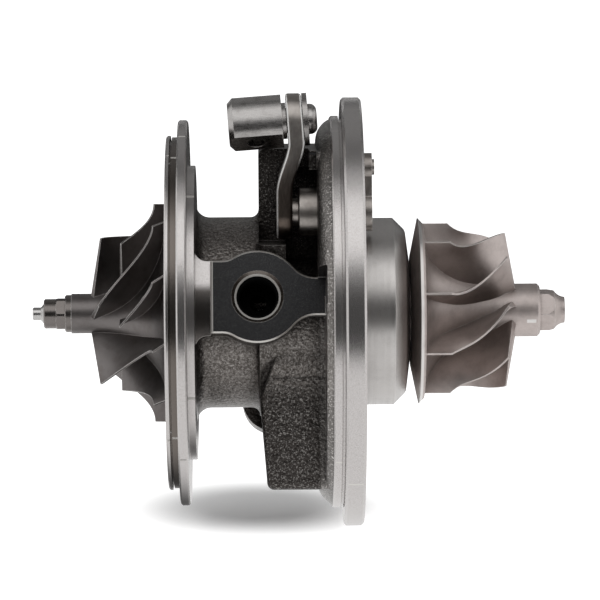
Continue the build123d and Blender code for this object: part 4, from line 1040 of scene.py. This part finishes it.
@dataclass
class PhotoCamera:
    """The camera at the photograph's angle."""

    aim: tuple[float, float, float] = (-0.0245, 0.0, 0.0)
    distance: float = 0.950
    elevation: float = 5.0
    image_px: float = 600.0
    scale_px_per_mm: float = 4.05
    axis_px: Span = (262.0, 311.8)
    roll: float = 0.42
    sensor_mm: float = 36.0
    clip: Span = (0.01, 200.0)

    def build(self) -> None:
        """Adds the camera and makes it the scene's."""
        data = bpy.data.cameras.new("photo_camera")
        data.sensor_width = self.sensor_mm
        data.lens = self.sensor_mm * self.distance / (self.image_px / self.scale_px_per_mm * MM)
        data.clip_start, data.clip_end = self.clip
        camera = bpy.data.objects.new("photo_camera", data)
        camera.location = Vector(self.aim) + towards(self.elevation) * self.distance
        px_per_radian = self.scale_px_per_mm * self.distance / MM
        yaw = (self.image_px / 2 - self.axis_px[0]) / px_per_radian
        pitch = (self.axis_px[1] - self.image_px / 2) / px_per_radian
        level = Matrix.Rotation(math.radians(QUARTER_TURN - self.elevation) + pitch, 4, "X")
        turn = Matrix.Rotation(-yaw, 4, "Z")
        tilt = Matrix.Rotation(-math.radians(self.roll), 4, "Z")
        camera.rotation_euler = (turn @ level @ tilt).to_euler()
        bpy.context.scene.collection.objects.link(camera)
        bpy.context.scene.camera = camera


def mesh_object(name: str, builder: Builder) -> bpy.types.Object:
    """Makes an object of a bmesh and frees it.

    Args:
        name: The object's name.
        builder: The mesh.

    Returns:
        The new object, linked to the scene.
    """
    mesh = bpy.data.meshes.new(name)
    builder.to_mesh(mesh)
    builder.free()
    made = bpy.data.objects.new(name, mesh)
    bpy.context.scene.collection.objects.link(made)
    return made


def circle(builder: Builder, radius: float, segments: int) -> list[bmesh.types.BMVert]:
    """Returns the corners of a new circle about the origin."""
    return bmesh.ops.create_circle(builder, cap_ends=False, radius=radius, segments=segments)["verts"]


def edges_of(ring: Sequence[bmesh.types.BMVert]) -> Edges:
    """Returns the edges between the corners of a ring."""
    return list({edge for vert in ring for edge in vert.link_edges})


@dataclass
class InletThread:
    """The screw thread cut in the oil inlet."""

    pitch: float = 1.25
    depth: float = 0.62
    half_share: float = 0.42
    crest_share: float = 0.25
    top_gap: float = 0.9
    turns: int = 7
    steps_per_turn: int = 32

    def build(self, material: bpy.types.Material) -> None:
        """Builds the thread's ridge, wound down from the countersink.

        Args:
            material: The housing's finish.
        """
        builder = bmesh.new()
        wall = HOUSING.thread_r
        crest = wall - self.depth
        half = self.pitch * self.half_share
        flat = half * self.crest_share
        corners = [(wall, -half), (crest, -flat), (crest, flat), (wall, half)]
        loop = [builder.verts.new((radius, 0.0, height)) for radius, height in corners]
        edges = [builder.edges.new(pair) for pair in zip(loop, loop[1:])]
        bmesh.ops.spin(
            builder, geom=loop + edges, cent=(0.0, 0.0, 0.0), axis=Axis.UP.value,
            dvec=(0.0, 0.0, -self.pitch / self.steps_per_turn), angle=math.tau * self.turns,
            steps=self.turns * self.steps_per_turn, use_merge=False, use_duplicate=False,
        )
        top = HOUSING.pad_height - HOUSING.thread_sink - self.top_gap
        lean = Vector(Axis.UP.value).rotation_difference(HOUSING.inlet_normal).to_matrix().to_4x4()
        place = Matrix.Translation((HOUSING.inlet_x * MM, 0.0, 0.0)) @ lean @ Matrix.Scale(MM, 4)
        place = place @ Matrix.Translation((0.0, 0.0, top))
        bmesh.ops.transform(builder, matrix=place, verts=builder.verts)
        bmesh.ops.recalc_face_normals(builder, faces=builder.faces)
        thread = mesh_object("inlet_thread", builder)
        thread.data.materials.append(material)
        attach(thread, "housing")
        LOG.info("thread: %d turns", self.turns)


@dataclass
class StrapLever:
    """The cranked outer lever, one strap with a smooth double bend."""

    pivot_y: float = -15.0
    pivot_z: float = 25.6
    mid_x: float = -18.95
    thick: float = 3.9
    boss_r: float = 6.5
    reach: float = 22.3
    spindle_hole_r: float = 3.51
    shank_hole_r: float = 3.03
    round_r: float = 0.65
    round_share: float = 0.29
    waist: float = 0.2
    eye_clear: float = 3.0
    waist_ease: float = 4.5
    jog: float = 3.1
    jog_start: float = 4.7
    jog_end: float = 17.6
    lean_start: float = 16.4
    lean: float = 4.0
    segments: int = 64
    cuts: int = 44
    cut_below: float = 1.0
    sharp_angle: float = 50.0
    tiny: float = 1e-4

    def bend(self, height: float) -> float:
        """Returns how far the strap stands to the right at a height over the pivot."""
        leaned = max(height - self.lean_start, 0.0) * math.tan(math.radians(self.lean))
        return self.jog * eased((height - self.jog_start) / (self.jog_end - self.jog_start)) - leaned

    def narrow(self, height: float) -> float:
        """Returns the share of its half width that the strap's back edge has at a height."""
        low, high = height - self.eye_clear, self.reach - self.eye_clear - height
        return 1.0 - self.waist * eased(low / self.waist_ease) * eased(high / self.waist_ease)

    def outline(self, builder: Builder, radius: float, side: float) -> Edges:
        """Adds the strap's outline, a circle pulled apart between its two eyes.

        Args:
            builder: The mesh.
            radius: The radius of both round ends.
            side: Where it stands along the shaft, from the strap's middle.

        Returns:
            The outline's edges.
        """
        ring = circle(builder, radius, self.segments)
        upper = [vert for vert in ring if vert.co.y > -self.tiny]
        bmesh.ops.translate(builder, vec=(0.0, self.reach, 0.0), verts=upper)
        bmesh.ops.translate(builder, vec=(0.0, 0.0, side), verts=ring)
        return edges_of(ring)

    def hole(self, builder: Builder, radius: float, height: float) -> list[Edges]:
        """Adds a hole through the strap.

        Args:
            builder: The mesh.
            radius: The hole's radius.
            height: Its centre over the pivot.

        Returns:
            The edges of its two rims.
        """
        rims = []
        for side in (-self.thick / 2, self.thick / 2):
            ring = circle(builder, radius, self.segments // 2)
            bmesh.ops.translate(builder, vec=(0.0, height, side), verts=ring)
            rims.append(edges_of(ring))
        bmesh.ops.bridge_loops(builder, edges=rims[0] + rims[1])
        return rims

    def blank(self, builder: Builder) -> None:
        """Adds the flat strap with its rounded edges and its two holes.

        Args:
            builder: The mesh.
        """
        half, corner = self.thick / 2, self.round_r * self.round_share
        steps = [(half, self.round_r), (half - corner, corner), (half - self.round_r, 0.0)]
        levels = [(-side, inset) for side, inset in steps] + steps[::-1]
        loops = [self.outline(builder, self.boss_r - inset, side) for side, inset in levels]
        for first, second in zip(loops, loops[1:]):
            bmesh.ops.bridge_loops(builder, edges=first + second)
        holes = [
            self.hole(builder, self.spindle_hole_r, 0.0),
            self.hole(builder, self.shank_hole_r, self.reach),
        ]
        for index, loop in ((0, loops[0]), (1, loops[-1])):
            edges = loop + [edge for rims in holes for edge in rims[index]]
            bmesh.ops.triangle_fill(builder, use_beauty=True, use_dissolve=False, edges=edges)

    def build(self, material: bpy.types.Material) -> None:
        """Builds the finished lever in the place of the frame's plain one.

        Args:
            material: The lever's finish.
        """
        builder = bmesh.new()
        self.blank(builder)
        low, high = self.jog_start - self.cut_below, self.reach + self.boss_r
        for cut in range(self.cuts):
            level = (0.0, low + (high - low) * (cut + 0.5) / self.cuts, 0.0)
            geometry = builder.verts[:] + builder.edges[:] + builder.faces[:]
            bmesh.ops.bisect_plane(
                builder, geom=geometry, dist=self.tiny, plane_co=level, plane_no=(0.0, 1.0, 0.0),
            )
        for vert in builder.verts:
            across, height, along = vert.co
            across *= self.narrow(height) if across > 0.0 else 1.0
            x = self.mid_x + self.bend(height) + along
            vert.co = (x, self.pivot_y + across, self.pivot_z + height)
        bmesh.ops.remove_doubles(builder, verts=builder.verts, dist=self.tiny)
        bmesh.ops.scale(builder, vec=(MM, MM, MM), verts=builder.verts)
        bmesh.ops.recalc_face_normals(builder, faces=builder.faces)
        lever = mesh_object("strap_lever", builder)
        lever.data.shade_smooth()
        lever.data.set_sharp_from_angle(angle=math.radians(self.sharp_angle))
        lever.data.materials.append(material)
        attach(lever, "vane_lever")
        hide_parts("outer_lever")
        LOG.info("lever: %d faces", len(lever.data.polygons))


GROUPS = (
    Dressing(Metal.HOUSING.value, ("bearing_housing",)),
    Dressing(Metal.SHIELD.value, ("heat_shield",)),
    Dressing(Metal.MACHINED.value, ("seal_insert", "oil_deflector", "thrust_collar", "oil_flinger")),
    Dressing(Metal.RING.value, (
        "insert_snap_ring", "bearing_stop_rings", "compressor_piston_ring", "turbine_piston_ring",
    )),
    Dressing(Metal.BRONZE.value, ("thrust_bearing", "compressor_journal_bush", "turbine_journal_bush")),
    Dressing(Metal.SHAFT.value, ("rotor_shaft",)),
    Dressing(Metal.NUT.value, ("compressor_nut",)),
    Dressing(Metal.TURBINE.value, ("turbine_wheel",)),
    Dressing(Metal.COMPRESSOR.value, ("compressor_wheel",)),
    Dressing(Metal.LEVER.value, ("inner_lever", "drive_pin", "lever_spindle", "spindle_bush")),
    Dressing(Metal.BARREL.value, ("trunnion_pin", "trunnion_washer")),
    Dressing(Rubber("rubber_finish"), ("insert_o_ring",)),
)


def main() -> None:
    """Dresses the frame and builds the studio."""
    logging.basicConfig(level=logging.INFO, format="%(name)s %(message)s")
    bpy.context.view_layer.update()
    for group in GROUPS:
        group.apply()
    InletThread().build(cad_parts["bearing_housing"].data.materials[0])
    StrapLever().build(Metal.STRAP.value.build())
    Studio().build()
    PhotoCamera().build()
    bpy.context.scene.view_settings.view_transform = "Standard"


if __name__ == "__main__":
    main()
